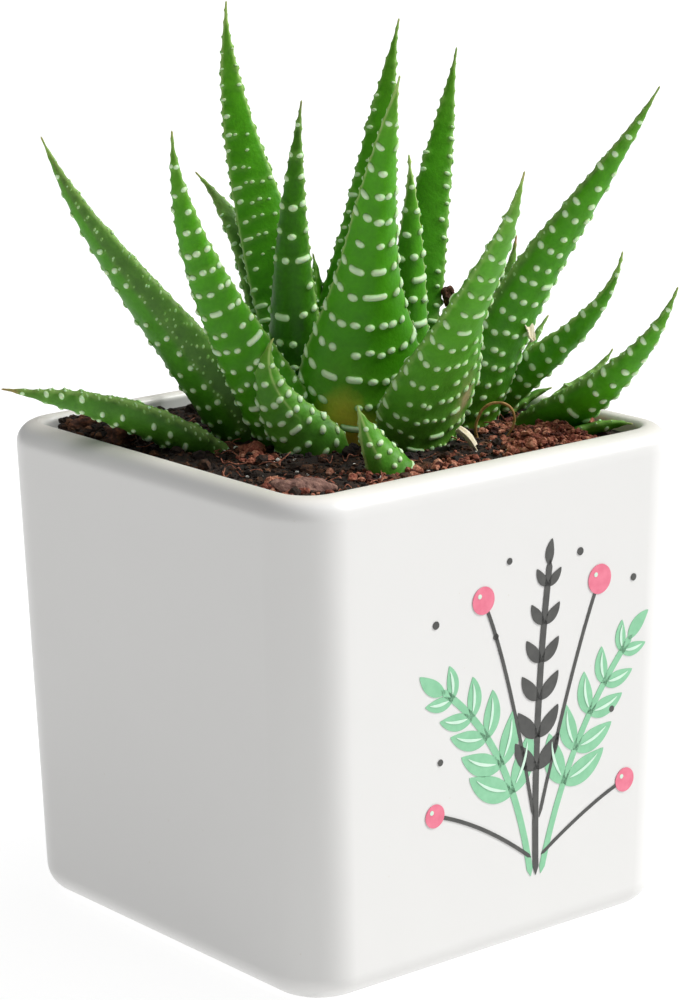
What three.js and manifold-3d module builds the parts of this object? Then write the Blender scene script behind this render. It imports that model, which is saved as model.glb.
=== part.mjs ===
// Potted haworthia: a glazed cube planter filled with potting mix, and a clump of
// three rosettes and a pup whose tapering leaves carry raised white tubercle bands.
// Millimetres, +Z up. The origin is the centre of the pot's flat base, and the plain
// front of the pot looks along -Y.
import * as THREE from 'three';
import { mergeVertices } from 'three/addons/utils/BufferGeometryUtils.js';
import Module from 'manifold-3d';

const wasm = await Module();
wasm.setup();

// pot
const potTopWidth = 76;
const potBaseWidth = 72.5;
const potHeight = 75.7;
const potCorner = 8.9;
const footRound = 4.2;
const rimRound = 3.3;
const lipRound = 1.1;
const wall = 4.5;
const floorThickness = 5;
const innerCorner = 5;
const cornerShare = 0.8;
const potCornerSteps = 6;
const roundingSteps = [0, 18, 36, 54, 72, 90];

// potting mix
const touchGap = 0.3;
const soilTop = 73.9;
const moundHeight = 1;
const soilBand = 1;
const soilLip = 0.5;
const crumbHeight = 0.7;
const soilRings = 7;
const soilCornerSteps = 4;
const soilSeed = 7;
const simplifyWithin = 0.03;
const mergeWithin = 1e-5;

// leaves
const leafSides = 7;
const innerSides = 3;
const ringSpacing = 2.3;
const tubercleHeight = 0.62;
const bandHeight = 0.18;
const toothHeight = 0.4;
const fullTubercleWidth = 3.6;
const tipHalfWidth = 0.4;
const rootNarrowing = 0.8;
const clearSpare = 0.05;
const clearance = touchGap + tubercleHeight + clearSpare;
const clearSpacing = 4;
const clearGrowth = 0.04;
const clearAngles = [0, 45, 90, 135, 180, 225, 270, 315].map(THREE.MathUtils.degToRad);

// Half a leaf's width falls from the belly to the tip as a rounded taper, and a
// clasping foot widens it around one share of its length.
const usualBelly = 0.2;
const taperPower = 1.1;
const taperFullness = 0.3;
const footPlace = 0.25;
const footSpread = 0.17;

// A leaf's depth next to half its width: at the root, and how much the tip adds.
const backDepth = { root: 0.62, gain: 0.25 };
const innerDepth = { root: 0.12, gain: 0.35 };

const leafGreen = 0x3f8a22;
const toneStep = 0.018;

// Lumps that lie in the mix: middle, length, width and height, the turn on the mix,
// the slope down along the length, and the colour.
const lumpTable = [
  {
    name: 'bark_front', at: [-26.5, -24.5, 74.4], size: [7.4, 4.4, 2.4],
    turn: -38, slope: 4, color: 0x5d3a2c,
  },
  {
    name: 'bark_left', at: [-28.2, 27, 74.6], size: [4.8, 4.2, 3.6],
    turn: 20, slope: 0, color: 0x3d2618,
  },
  {
    name: 'bark_side', at: [-28.4, 18, 74.6], size: [7, 4.6, 4],
    turn: 82, slope: 6, color: 0x4a2c1a,
  },
  {
    name: 'coir_middle', at: [-19, -3.5, 74.6], size: [3.8, 3.2, 3],
    turn: 10, slope: 12, color: 0x6b3324,
  },
  {
    name: 'coir_right', at: [16.5, -27.5, 74.3], size: [6, 4, 3],
    turn: -20, slope: 3, color: 0x6e3527,
  },
  {
    name: 'coir_corner', at: [29, -22.5, 74.4], size: [5, 3.8, 3.4],
    turn: 60, slope: 0, color: 0x5f2f22,
  },
  {
    name: 'dry_sheath', at: [7.6, -21.6, 75.2], size: [5, 2.4, 1],
    turn: -48, slope: 48, color: 0xd8c8a2,
  },
];
const lumpWaves = [
  { height: 0.16, along: [7, 5, 0] },
  { height: 0.12, along: [0, -6, 9] },
];

// A dry root that curls up out of the mix, in a plane that faces the front corner.
const rootMiddle = [14.8, -19.2, 76.8];
const rootPlaneTurn = -38.7;
const rootThickness = 0.7;
const rootSteps = 24;
const rootSides = 6;
const rootOutline = [
  [-1.9, -4.4], [-3, -2.1], [-2.6, 0.6], [-1.4, 2.2],
  [0.3, 2.7], [2, 2.1], [2.8, 0.4], [2.4, -1.4], [1.3, -2.9],
];

// Each leaf: its root in the mix, the way it leans (degrees from +X), its lean from
// upright at root, middle and tip, its length, its width, how much its foot adds to
// that width, and the way its back looks.
const mainRosette = [
  {
    name: 'leaf_a1', root: [-1.7, -6.9, 68.5], way: -104, lean: [-1, 14, 28],
    length: 64.5, width: 13.2, foot: 0.5, back: -114,
  },
  {
    name: 'leaf_a2', root: [-9.4, -8, 70.5], way: 159, lean: [14, 34, -32],
    length: 23.5, width: 10.7, back: -142,
  },
  {
    name: 'leaf_a3', root: [-7.8, -2.4, 70], way: 170, lean: [25, 27, 0],
    length: 57.5, width: 10.6, back: -142,
  },
  {
    name: 'leaf_a4', root: [-9.8, 4.9, 70], way: 149, lean: [27, 37, 22],
    length: 60.5, width: 12.2, back: -174,
  },
  {
    name: 'leaf_a5', root: [-3.9, 4, 71], way: 100, lean: [-5, 20, -5],
    length: 69.5, width: 9.1, back: 59, belly: 0.4,
  },
  {
    name: 'leaf_a6', root: [-5.9, 1.3, 71.5], way: 169, lean: [5, 0, -9],
    length: 53.5, width: 9.1, back: -144,
  },
  {
    name: 'leaf_a7', root: [0.5, 2.5, 71], way: 15, lean: [23, 14, 21],
    length: 66.5, width: 10.3, foot: 0.25, back: 42, belly: 0.3,
  },
  {
    name: 'leaf_a8', root: [-16.3, 4.5, 70.5], way: 152, lean: [46, 71, 79],
    length: 38, width: 10.2, back: 164,
  },
  {
    name: 'leaf_a9', root: [-2.8, 8.1, 72], way: 112, lean: [6, 19, 49],
    length: 44.5, width: 9.9, back: 84,
  },
  {
    name: 'leaf_a10', root: [3.9, 8.8, 71.5], way: 145, lean: [15, -3, 11],
    length: 28.5, width: 7.6, back: 117, belly: 0.4,
  },
  {
    name: 'leaf_a11', root: [5, 4, 70.5], way: 36, lean: [33, 30, 19],
    length: 39.5, width: 8, back: 43,
  },
  {
    name: 'leaf_a12', root: [-0.8, 9.3, 71], way: 68, lean: [31, 35, 26],
    length: 37, width: 8, back: 72,
  },
  {
    name: 'leaf_a13', root: [-5, 13, 71], way: 88, lean: [62, 64, 58],
    length: 22, width: 8.5, back: 96,
  },
  {
    name: 'leaf_a14', root: [8.5, 9.5, 70.5], way: 44, lean: [70, 73, 55],
    length: 25.5, width: 8.5, back: 49,
  },
];
const secondRosette = [
  {
    name: 'leaf_b1', root: [3.6, -13.6, 70], way: -103, lean: [2, 45, 25],
    length: 61, width: 12.9, foot: 0.5, back: -88,
  },
  {
    name: 'leaf_b2', root: [11.1, -2.6, 71.5], way: 152, lean: [5, -4, 4],
    length: 44, width: 8.6, back: -122,
  },
  {
    name: 'leaf_b3', root: [13, 1.7, 71], way: 21, lean: [11, 21, 20],
    length: 61.5, width: 8, back: 51, belly: 0.4,
  },
  {
    name: 'leaf_b4', root: [16.4, -9.1, 70.5], way: -52, lean: [9, 33, 30],
    length: 64, width: 10.7, back: -95,
  },
  {
    name: 'leaf_b5', root: [19.9, -2.7, 71.5], way: -12, lean: [19, 26, 9],
    length: 32, width: 7.6, back: -90,
  },
  {
    name: 'leaf_b6', root: [17, 1, 71], way: 44, lean: [29, 32, 26],
    length: 34, width: 7, back: 30,
  },
  {
    name: 'leaf_b7', root: [20.5, 1.5, 71], way: 40, lean: [65, 71, 52],
    length: 21, width: 8, back: 41,
  },
];
const sideRosette = [
  {
    name: 'leaf_c1', root: [21.5, -4.6, 72], way: -57, lean: [34, 50, 11],
    length: 38.5, width: 6.9, back: -105,
  },
  {
    name: 'leaf_c2', root: [24.2, -13.7, 71.5], way: -78, lean: [58, 51, 23],
    length: 40, width: 7.6, back: -108,
  },
  {
    name: 'leaf_c3', root: [29, -3.4, 72], way: -5, lean: [22, 34, 41],
    length: 18.5, width: 4.5, back: -45,
  },
  {
    name: 'leaf_c4', root: [29, -11.5, 72], way: -24, lean: [14, 62, 30],
    length: 18, width: 4.5, back: -39,
  },
  {
    name: 'leaf_c5', root: [22.4, -22, 72.5], way: -47, lean: [59, 76, 92],
    length: 13.5, width: 6, back: -51,
  },
  {
    name: 'leaf_c6', root: [26.7, -4.7, 72], way: -43, lean: [39, 60, 71],
    length: 11, width: 4.5, back: -35,
  },
];
const frontPup = [
  {
    name: 'leaf_d1', root: [-8.8, -25.3, 71], way: 157, lean: [34, 28, 15],
    length: 14.5, width: 7.4, back: -90,
  },
];
const leafTable = [...mainRosette, ...secondRosette, ...sideRosette, ...frontPup];

const radians = THREE.MathUtils.degToRad;

function closedGeometry(points, triangles) {
  const geometry = new THREE.BufferGeometry();
  const numbers = points.flatMap((p) => p.toArray());
  geometry.setAttribute('position', new THREE.Float32BufferAttribute(numbers, 3));
  geometry.setIndex(triangles.flat());
  return geometry;
}

// Closes a stack of rings that all have the same number of points. Each four-sided
// field is split along its lower diagonal, so that a raised point stands as a pyramid.
function loft(rings, heights = null) {
  const count = rings[0].length;
  const points = rings.flat();
  const height = (ring, side) => (heights ? heights[ring][side % count] : 0);
  const triangles = [];
  for (let ring = 0; ring < rings.length - 1; ring += 1) {
    for (let side = 0; side < count; side += 1) {
      const next = (side + 1) % count;
      const a = ring * count + side;
      const b = ring * count + next;
      const c = a + count;
      const d = b + count;
      const risesAlongAD = height(ring, side) + height(ring + 1, next);
      const risesAlongBC = height(ring, next) + height(ring + 1, side);
      if (risesAlongAD < risesAlongBC) triangles.push([a, b, d], [a, d, c]);
      else triangles.push([a, b, c], [b, d, c]);
    }
  }
  for (const [ring, turned] of [[0, true], [rings.length - 1, false]]) {
    const centre = points.length;
    const middle = new THREE.Vector3();
    rings[ring].forEach((p) => middle.addScaledVector(p, 1 / count));
    points.push(middle);
    for (let side = 0; side < count; side += 1) {
      const a = ring * count + side;
      const b = ring * count + ((side + 1) % count);
      triangles.push(turned ? [centre, b, a] : [centre, a, b]);
    }
  }
  return closedGeometry(points, triangles);
}

function toSolid(geometry) {
  const bare = geometry.clone();
  bare.deleteAttribute('normal');
  bare.deleteAttribute('uv');
  const merged = mergeVertices(bare, mergeWithin);
  return new wasm.Manifold(new wasm.Mesh({
    numProp: 3,
    vertProperties: new Float32Array(merged.attributes.position.array),
    triVerts: new Uint32Array(merged.index.array),
  }));
}

function toGeometry(solid) {
  const mesh = solid.getMesh();
  const geometry = new THREE.BufferGeometry();
  geometry.setAttribute('position', new THREE.BufferAttribute(mesh.vertProperties, 3));
  geometry.setIndex(new THREE.BufferAttribute(mesh.triVerts, 1));
  return geometry;
}

function largestBody(solid) {
  const bodies = solid.decompose();
  return bodies.reduce((best, body) => (body.volume() > best.volume() ? body : best));
}

// A plain linear congruential generator, so that the crumbs are the same each time.
function seededRandom(seed) {
  const range = 2 ** 32;
  const factor = 1664525;
  const shift = 1013904223;
  let state = seed;
  return () => {
    state = (state * factor + shift) % range;
    return state / range;
  };
}

function squareRing(halfWidth, corner, z, cornerSteps = potCornerSteps) {
  const outline = new THREE.Shape();
  const inset = halfWidth - corner;
  outline.absarc(inset, inset, corner, 0, Math.PI / 2);
  outline.absarc(-inset, inset, corner, Math.PI / 2, Math.PI);
  outline.absarc(-inset, -inset, corner, Math.PI, Math.PI * 1.5);
  outline.absarc(inset, -inset, corner, Math.PI * 1.5, Math.PI * 2);
  const ring = [];
  for (const arc of outline.curves.filter((curve) => curve.isEllipseCurve)) {
    arc.getPoints(cornerSteps).forEach((p) => ring.push(new THREE.Vector3(p.x, p.y, z)));
  }
  return ring;
}

const outerHalf = (z) => THREE.MathUtils.lerp(potBaseWidth, potTopWidth, z / potHeight) / 2;
const innerHalf = (z) => outerHalf(z) - wall;

// The pot's wall from the foot up, over the rim and down inside to the floor.
function potGeometry() {
  const rings = [];
  const quarter = roundingSteps.map(radians);
  for (const turn of quarter) {
    const inset = footRound * (1 - Math.sin(turn));
    const z = footRound * (1 - Math.cos(turn));
    rings.push(squareRing(outerHalf(z) - inset, potCorner - inset * cornerShare, z));
  }
  for (const turn of quarter) {
    const z = potHeight - rimRound * (1 - Math.sin(turn));
    const inset = rimRound * (1 - Math.cos(turn));
    rings.push(squareRing(outerHalf(z) - inset, potCorner - inset * cornerShare, z));
  }
  for (const turn of quarter) {
    const z = potHeight - lipRound * (1 - Math.cos(turn));
    const inset = lipRound * (1 - Math.sin(turn));
    rings.push(squareRing(innerHalf(z) + inset, innerCorner + inset, z));
  }
  rings.push(squareRing(innerHalf(floorThickness), innerCorner, floorThickness));
  return loft(rings);
}

// The mix: a block that fills the pot, with a low crumbly mound for its top.
function soilSolid() {
  const random = seededRandom(soilSeed);
  const rings = [];
  for (const z of [floorThickness + touchGap, soilTop - soilBand]) {
    rings.push(squareRing(innerHalf(z) - touchGap, innerCorner, z, soilCornerSteps));
  }
  const edgeHalf = innerHalf(soilTop) - touchGap;
  for (let step = 0; step < soilRings; step += 1) {
    const share = step / soilRings;
    const half = edgeHalf * (1 - share) - (step ? 0 : soilLip);
    const ring = squareRing(half, innerCorner * (1 - share), soilTop, soilCornerSteps);
    const mound = moundHeight * Math.sin((share * Math.PI) / 2);
    for (const p of ring) p.z += mound + crumbHeight * (random() - 0.5);
    rings.push(ring);
  }
  return toSolid(loft(rings));
}

function leanAt([root, middle, tip], t) {
  return root + (4 * middle - 3 * root - tip) * t + (2 * root + 2 * tip - 4 * middle) * t * t;
}

function directionAt(leaf, t) {
  const lean = radians(leanAt(leaf.lean, t));
  const way = radians(leaf.way);
  return new THREE.Vector3(
    Math.sin(lean) * Math.cos(way),
    Math.sin(lean) * Math.sin(way),
    Math.cos(lean),
  );
}

// Half a leaf's width without its foot: nearly full at the root, full at the belly,
// then a long taper.
function taperAt({ width, belly = usualBelly }, t) {
  const swell = rootNarrowing + (1 - rootNarrowing) * Math.sin((Math.min(t / belly, 1) * Math.PI) / 2);
  const left = Math.max(0, (1 - t) / (1 - belly));
  const taper = left ** taperPower * (1 + taperFullness * (1 - left));
  return Math.max(tipHalfWidth, (width / 2) * (t < belly ? swell : taper));
}

// What the clasping foot adds on either side.
function footAt({ width, foot = 0 }, t) {
  return foot * (width / 2) * Math.exp(-(((t - footPlace) / footSpread) ** 2));
}

// The leaf's line, with its directions and half widths at each ring.
function leafFrames(leaf, ringCount) {
  const frames = [];
  const point = new THREE.Vector3(...leaf.root);
  const step = leaf.length / (ringCount - 1);
  const back = new THREE.Vector3(Math.cos(radians(leaf.back)), Math.sin(radians(leaf.back)), 0);
  for (let ring = 0; ring < ringCount; ring += 1) {
    const t = ring / (ringCount - 1);
    const along = directionAt(leaf, t);
    if (ring > 0) {
      const before = directionAt(leaf, (ring - 1) / (ringCount - 1));
      point.addScaledVector(before.add(along).normalize(), step);
    }
    const outward = back.clone().addScaledVector(along, -back.dot(along)).normalize();
    const side = new THREE.Vector3().crossVectors(outward, along).normalize();
    const taper = taperAt(leaf, t);
    const halfWidth = taper + footAt(leaf, t);
    frames.push({ t, point: point.clone(), outward, side, along, taper, halfWidth });
  }
  return frames;
}

// One section: the rounded back from margin to margin, then the flatter inner face.
function sectionAngles() {
  const angles = [];
  for (let side = 0; side < leafSides; side += 1) angles.push((side * 180) / (leafSides - 1));
  for (let side = 1; side <= innerSides; side += 1) angles.push(180 + (side * 180) / (innerSides + 1));
  return angles.map(radians);
}

function sectionPoint(frame, angle, grow) {
  const { root, gain } = Math.sin(angle) > 0 ? backDepth : innerDepth;
  const depth = Math.max(tipHalfWidth, frame.taper * (root + gain * frame.t));
  return frame.point.clone()
    .addScaledVector(frame.side, Math.cos(angle) * (frame.halfWidth + grow))
    .addScaledVector(frame.outward, Math.sin(angle) * (depth + grow));
}

// How far the tubercles, bands and marginal teeth raise each point of a ring.
function raiseAt(halfWidth, ring, ringCount, side) {
  const isBand = ring % 2 === 1 && ring < ringCount - 1;
  if (!isBand) return 0;
  const share = Math.min(1, (2 * halfWidth) / fullTubercleWidth);
  const isMargin = side === 0 || side === leafSides - 1;
  if (isMargin) return toothHeight * share;
  const shift = ((ring - 1) / 2) % 2;
  if (side < leafSides) {
    const onTubercle = (side + shift) % 2 === 1;
    return (onTubercle ? tubercleHeight : bandHeight) * share;
  }
  const isMidInner = side === leafSides + 1;
  return isMidInner && shift === 0 ? bandHeight * 2 * share : 0;
}

function leafSolid(leaf) {
  const ringCount = 2 * Math.ceil(leaf.length / ringSpacing / 2) + 1;
  const angles = sectionAngles();
  const heights = [];
  const rings = leafFrames(leaf, ringCount).map((frame, ring) => {
    const raised = angles.map((_, side) => raiseAt(frame.halfWidth, ring, ringCount, side));
    heights.push(raised);
    return angles.map((angle, side) => sectionPoint(frame, angle, raised[side]));
  });
  return toSolid(loft(rings, heights));
}

// A plain, slightly larger leaf: what its neighbours and the mix keep clear of.
function clearanceSolid(leaf) {
  const ringCount = Math.ceil(leaf.length / clearSpacing) + 1;
  const frames = leafFrames(leaf, ringCount);
  const grow = clearance + clearGrowth * leaf.width;
  const rings = frames.map((frame) => clearAngles.map((angle) => sectionPoint(frame, angle, grow)));
  for (const [end, sign] of [[0, -1], [frames.length - 1, 1]]) {
    rings[end].forEach((p) => p.addScaledVector(frames[end].along, sign * clearance));
  }
  return toSolid(loft(rings));
}

function leafSolids(table) {
  const placed = [];
  for (const leaf of table) {
    let solid = leafSolid(leaf);
    for (const other of placed) solid = solid.subtract(other.clear);
    placed.push({ leaf, solid: largestBody(solid), clear: clearanceSolid(leaf) });
  }
  return placed;
}

// A lump with a few broad facets, raised and sunk by a formula.
function lumpSolid({ at, size, turn, slope }, grow = 0) {
  const geometry = new THREE.IcosahedronGeometry(0.5, 1);
  const position = geometry.attributes.position;
  const p = new THREE.Vector3();
  for (let i = 0; i < position.count; i += 1) {
    p.fromBufferAttribute(position, i);
    const swell = lumpWaves.map(({ height, along }, wave) => (
      height * Math.sin(p.dot(new THREE.Vector3(...along)) + at[wave])
    ));
    p.multiplyScalar(1 + swell[0] + swell[1]);
    position.setXYZ(i, p.x, p.y, p.z);
  }
  geometry.scale(size[0] + 2 * grow, size[1] + 2 * grow, size[2] + 2 * grow);
  geometry.rotateY(radians(slope));
  geometry.rotateZ(radians(turn));
  geometry.translate(...at);
  return toSolid(geometry);
}

function rootSolid(thickness) {
  const turn = radians(rootPlaneTurn);
  const middle = new THREE.Vector3(...rootMiddle);
  const path = new THREE.CatmullRomCurve3(rootOutline.map(([across, up]) => (
    new THREE.Vector3(across * Math.cos(turn), across * Math.sin(turn), up).add(middle)
  )));
  const section = new THREE.Shape();
  section.absarc(0, 0, thickness / 2, 0, Math.PI * 2);
  const sweep = { extrudePath: path, steps: rootSteps, curveSegments: rootSides / 2 };
  return toSolid(new THREE.ExtrudeGeometry(section, sweep));
}

const glaze = new THREE.MeshStandardMaterial({ color: 0xf4f3f0, roughness: 0.2, metalness: 0 });
const mix = new THREE.MeshStandardMaterial({ color: 0x33221a, roughness: 1, metalness: 0 });

function part(name, geometry, material) {
  const flat = geometry.toNonIndexed();
  flat.computeVertexNormals();
  const mesh = new THREE.Mesh(flat, material);
  mesh.name = name;
  return mesh;
}

const pottedHaworthia = new THREE.Group();
pottedHaworthia.add(part('pot', potGeometry(), glaze));

const leaves = leafSolids(leafTable);
const lumps = lumpTable.map((lump) => {
  let solid = lumpSolid(lump);
  for (const { clear } of leaves) solid = solid.subtract(clear);
  return { lump, solid: largestBody(solid), clear: lumpSolid(lump, touchGap) };
});

let soil = soilSolid();
for (const { clear } of [...leaves, ...lumps]) soil = soil.subtract(clear);
soil = soil.subtract(rootSolid(rootThickness + 2 * touchGap));
soil = largestBody(soil.simplify(simplifyWithin));
pottedHaworthia.add(part('soil', toGeometry(soil), mix));

leaves.forEach(({ leaf, solid }, index) => {
  const color = new THREE.Color(leafGreen).offsetHSL(0, 0, toneStep * Math.sin(index * 2));
  const skin = new THREE.MeshStandardMaterial({ color, roughness: 0.45, metalness: 0 });
  pottedHaworthia.add(part(leaf.name, toGeometry(solid), skin));
});

for (const { lump, solid } of lumps) {
  const dry = new THREE.MeshStandardMaterial({ color: lump.color, roughness: 0.95, metalness: 0 });
  pottedHaworthia.add(part(lump.name, toGeometry(solid), dry));
}

const dryRoot = new THREE.MeshStandardMaterial({ color: 0xa9814f, roughness: 0.8, metalness: 0 });
pottedHaworthia.add(part('dry_root', toGeometry(rootSolid(rootThickness)), dryRoot));

export default pottedHaworthia;
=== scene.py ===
# Potted haworthia: three rosettes and a pup of banded green leaves in potting mix,
# in a white glazed cube pot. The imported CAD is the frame, every visible piece is made here.
import math
import random

import bmesh
import bpy
import numpy as np
from mathutils import Matrix, Vector


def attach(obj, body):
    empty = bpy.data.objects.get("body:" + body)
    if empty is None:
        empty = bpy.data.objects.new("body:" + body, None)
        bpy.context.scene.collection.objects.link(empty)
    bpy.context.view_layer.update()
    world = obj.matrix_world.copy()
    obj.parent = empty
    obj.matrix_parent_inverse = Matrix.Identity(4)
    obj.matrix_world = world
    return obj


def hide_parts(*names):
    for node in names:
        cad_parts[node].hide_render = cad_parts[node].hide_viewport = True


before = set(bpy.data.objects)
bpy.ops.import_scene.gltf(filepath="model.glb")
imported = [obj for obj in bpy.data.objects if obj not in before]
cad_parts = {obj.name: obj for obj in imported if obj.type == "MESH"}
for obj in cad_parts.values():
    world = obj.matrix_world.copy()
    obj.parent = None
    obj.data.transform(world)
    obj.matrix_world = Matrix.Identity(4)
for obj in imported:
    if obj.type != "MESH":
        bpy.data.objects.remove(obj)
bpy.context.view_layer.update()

mm = 0.001  # Blender works in metres, every size below is in millimetres
colourA, colourB, mixedColour = 6, 7, 2  # the colour sockets of a Mix node
scene = bpy.context.scene


# small helpers

def linear(hexColour):
    # #rrggbb in sRGB to linear red, green, blue, alpha
    shares = [int(hexColour[i:i + 2], 16) / 255 for i in (1, 3, 5)]
    curve = [s / 12.92 if s <= 0.04045 else ((s + 0.055) / 1.055) ** 2.4 for s in shares]
    return (*curve, 1)


def deselectAll():
    if bpy.context.object and bpy.context.object.mode == "EDIT":
        bpy.ops.object.mode_set(mode="OBJECT")
    bpy.ops.object.select_all(action="DESELECT")


def selectOnly(piece):
    deselectAll()
    bpy.context.view_layer.objects.active = piece
    piece.select_set(True)


def editMode(piece):
    selectOnly(piece)
    bpy.ops.object.mode_set(mode="EDIT")


def outwards():
    # every face of the mesh in edit mode is turned outwards, and edit mode is left
    bpy.ops.mesh.select_all(action="SELECT")
    bpy.ops.mesh.normals_make_consistent(inside=False)
    deselectAll()


def pick(kind, test):
    # selects the faces, edges or verts of the mesh in edit mode that pass the test
    bpy.ops.mesh.select_mode(type={"faces": "FACE", "edges": "EDGE", "verts": "VERT"}[kind])
    bpy.ops.mesh.select_all(action="DESELECT")
    mesh = bmesh.from_edit_mesh(bpy.context.object.data)
    for element in getattr(mesh, kind):
        if test(element):
            element.select_set(True)
    mesh.select_flush_mode()
    bmesh.update_edit_mesh(bpy.context.object.data)


def addModifier(piece, kind, **settings):
    # adds a modifier and applies it at once
    selectOnly(piece)
    modifier = piece.modifiers.new(kind.lower(), kind)
    for name, value in settings.items():
        setattr(modifier, name, value)
    bpy.ops.object.modifier_apply(modifier=modifier.name)


def meshPiece(name, points, faces, values=None):
    # points in millimetres; values holds one number per point for each named attribute
    mesh = bpy.data.meshes.new(name)
    mesh.from_pydata((np.asarray(points, float) * mm).tolist(), [], faces)
    for key, numbers in (values or {}).items():
        layer = mesh.attributes.new(key, "FLOAT", "POINT")
        layer.data.foreach_set("value", np.asarray(numbers, np.float32))
    mesh.validate()
    mesh.update()
    piece = bpy.data.objects.new(name, mesh)
    scene.collection.objects.link(piece)
    return piece


def newCurve(name, radius, sides, steps):
    # a round cord with no line yet; sides is its bevel resolution, steps the points between two bends
    data = bpy.data.curves.new(name, "CURVE")
    data.dimensions = "3D"
    data.bevel_depth = radius * mm
    data.bevel_resolution = sides
    data.resolution_u = data.render_resolution_u = steps
    return data


def addSpline(data, spots, radii):
    # one bent line of the cord through the spots, in millimetres, with its own radius at each
    spline = data.splines.new("BEZIER")
    spline.bezier_points.add(len(spots) - 1)
    for point, spot, radius in zip(spline.bezier_points, spots, radii):
        point.co = Vector(spot) * mm
        point.handle_left_type = point.handle_right_type = "AUTO"
        point.radius = radius


def curvePiece(data):
    # the finished curve as a mesh
    piece = bpy.data.objects.new(data.name, data)
    scene.collection.objects.link(piece)
    selectOnly(piece)
    bpy.ops.object.convert(target="MESH")
    return bpy.context.object


def placeIn(piece, at, turn, slope, size=(1, 1, 1)):
    # grows the mesh, slopes it down along its length, turns it and puts it in its place
    turned = Matrix.Rotation(math.radians(turn), 4, "Z") @ Matrix.Rotation(math.radians(slope), 4, "Y")
    piece.data.transform(Matrix.Translation(Vector(at) * mm) @ turned @ Matrix.Diagonal((*size, 1)))


def addRoughness(piece, name, sizeMm, riseMm, depth, level=0.5, **settings):
    # displaces a dense piece by a soft noise, and applies it at once
    noise = bpy.data.textures.new(name, "CLOUDS")
    noise.noise_scale = sizeMm * mm
    noise.noise_depth = depth
    addModifier(piece, "DISPLACE", texture=noise, texture_coords="LOCAL", strength=riseMm * mm,
                mid_level=level, **settings)


def finishPiece(piece, slotName, material, *nodes, smooth=True):
    # its material, the body it rides on, and the CAD nodes that it stands for; its slot is not used
    piece.data.materials.clear()
    piece.data.materials.append(material)
    if smooth:
        piece.data.shade_smooth()
    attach(piece, "root")
    if nodes:
        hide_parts(*nodes)


def addNode(tree, kind, values=None, links=None, stops=None, **settings):
    # one shader node with its settings, socket values, links from other nodes and colour stops
    node = tree.nodes.new("ShaderNode" + kind)
    for name, value in settings.items():
        setattr(node, name, value)
    for name, value in (values or {}).items():
        node.inputs[name].default_value = value
    for name, socket in (links or {}).items():
        tree.links.new(socket, node.inputs[name])
    if stops:
        ramp = node.color_ramp.elements
        while len(ramp) < len(stops):
            ramp.new(1)
        for element, (place, colour) in zip(ramp, stops):
            element.position = place
            element.color = linear(colour)
    return node


def aroundZero(spread):
    # the values of a multiply-add node that turns a noise of 0 to 1 into one around zero
    return {1: spread, 2: -spread / 2}


def newMaterial(name, **sockets):
    # a Principled material, with values for the shader's own sockets
    material = bpy.data.materials.new(name)
    material.use_nodes = True
    shader = material.node_tree.nodes["Principled BSDF"]
    for key, value in sockets.items():
        shader.inputs[key.replace("_", " ")].default_value = value
    return material, material.node_tree, shader


# materials

# glazed stoneware: a clear gloss glaze over a white slip-cast body. The glaze pools in slow
# waves about 16 mm long, so reflections bend a little, it runs thin and creamy at the rim, and a
# few faint specks of the body show through
def makeGlaze():
    look = {"white": "#dddcda", "thin": "#dfdbd3", "speck": "#d2cdc3", "waveMm": 16, "speckMm": 5,
            "thinFrom": 74.6, "thinTo": 75.7, "roughness": (0.26, 0.38)}
    material, tree, shader = newMaterial("glazed stoneware", IOR=1.5)
    place = addNode(tree, "TexCoord").outputs["Object"]
    apart = addNode(tree, "SeparateXYZ", links={"Vector": place})
    rim = addNode(tree, "MapRange", links={"Value": apart.outputs["Z"]},
                  values={"From Min": look["thinFrom"] * mm, "From Max": look["thinTo"] * mm})
    body = addNode(tree, "Mix", data_type="RGBA", links={"Factor": rim.outputs["Result"]},
                   values={colourA: linear(look["white"]), colourB: linear(look["thin"])})
    cells = addNode(tree, "TexVoronoi", values={"Scale": 1 / (look["speckMm"] * mm)}, links={"Vector": place})
    speck = addNode(tree, "MapRange", values={"From Min": 0.035, "From Max": 0.02, "To Max": 0.5},
                    links={"Value": cells.outputs["Distance"]})
    tinted = addNode(tree, "Mix", data_type="RGBA", values={colourB: linear(look["speck"])},
                     links={"Factor": speck.outputs["Result"], colourA: body.outputs[mixedColour]})
    wave = addNode(tree, "TexNoise", values={"Scale": 1 / (look["waveMm"] * mm), "Detail": 2},
                   links={"Vector": place})
    smooth, rough = look["roughness"]
    gloss = addNode(tree, "MapRange", values={"To Min": smooth, "To Max": rough},
                    links={"Value": wave.outputs["Fac"]})
    relief = addNode(tree, "Bump", values={"Strength": 0.25, "Distance": 0.6 * mm},
                     links={"Height": wave.outputs["Fac"]})
    tree.links.new(tinted.outputs[mixedColour], shader.inputs["Base Color"])
    tree.links.new(gloss.outputs["Result"], shader.inputs["Roughness"])
    tree.links.new(relief.outputs["Normal"], shader.inputs["Normal"])
    return material


# bare stoneware: the biscuit of the foot ring, where the glaze was wiped off. Matt, with a sandy
# grain of about 0.7 mm, drawn that coarse so that it shows
def makeBiscuit():
    material, tree, shader = newMaterial("bare stoneware", Roughness=0.85, IOR=1.5)
    place = addNode(tree, "TexCoord").outputs["Object"]
    grit = addNode(tree, "TexNoise", values={"Scale": 1 / (0.7 * mm), "Detail": 3}, links={"Vector": place})
    tone = addNode(tree, "ValToRGB", links={"Fac": grit.outputs["Fac"]},
                   stops=[(0.3, "#cfc6b6"), (0.7, "#e6dfd2")])
    relief = addNode(tree, "Bump", values={"Strength": 0.5, "Distance": 0.15 * mm},
                     links={"Height": grit.outputs["Fac"]})
    tree.links.new(tone.outputs["Color"], shader.inputs["Base Color"])
    tree.links.new(relief.outputs["Normal"], shader.inputs["Normal"])
    return material


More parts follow.
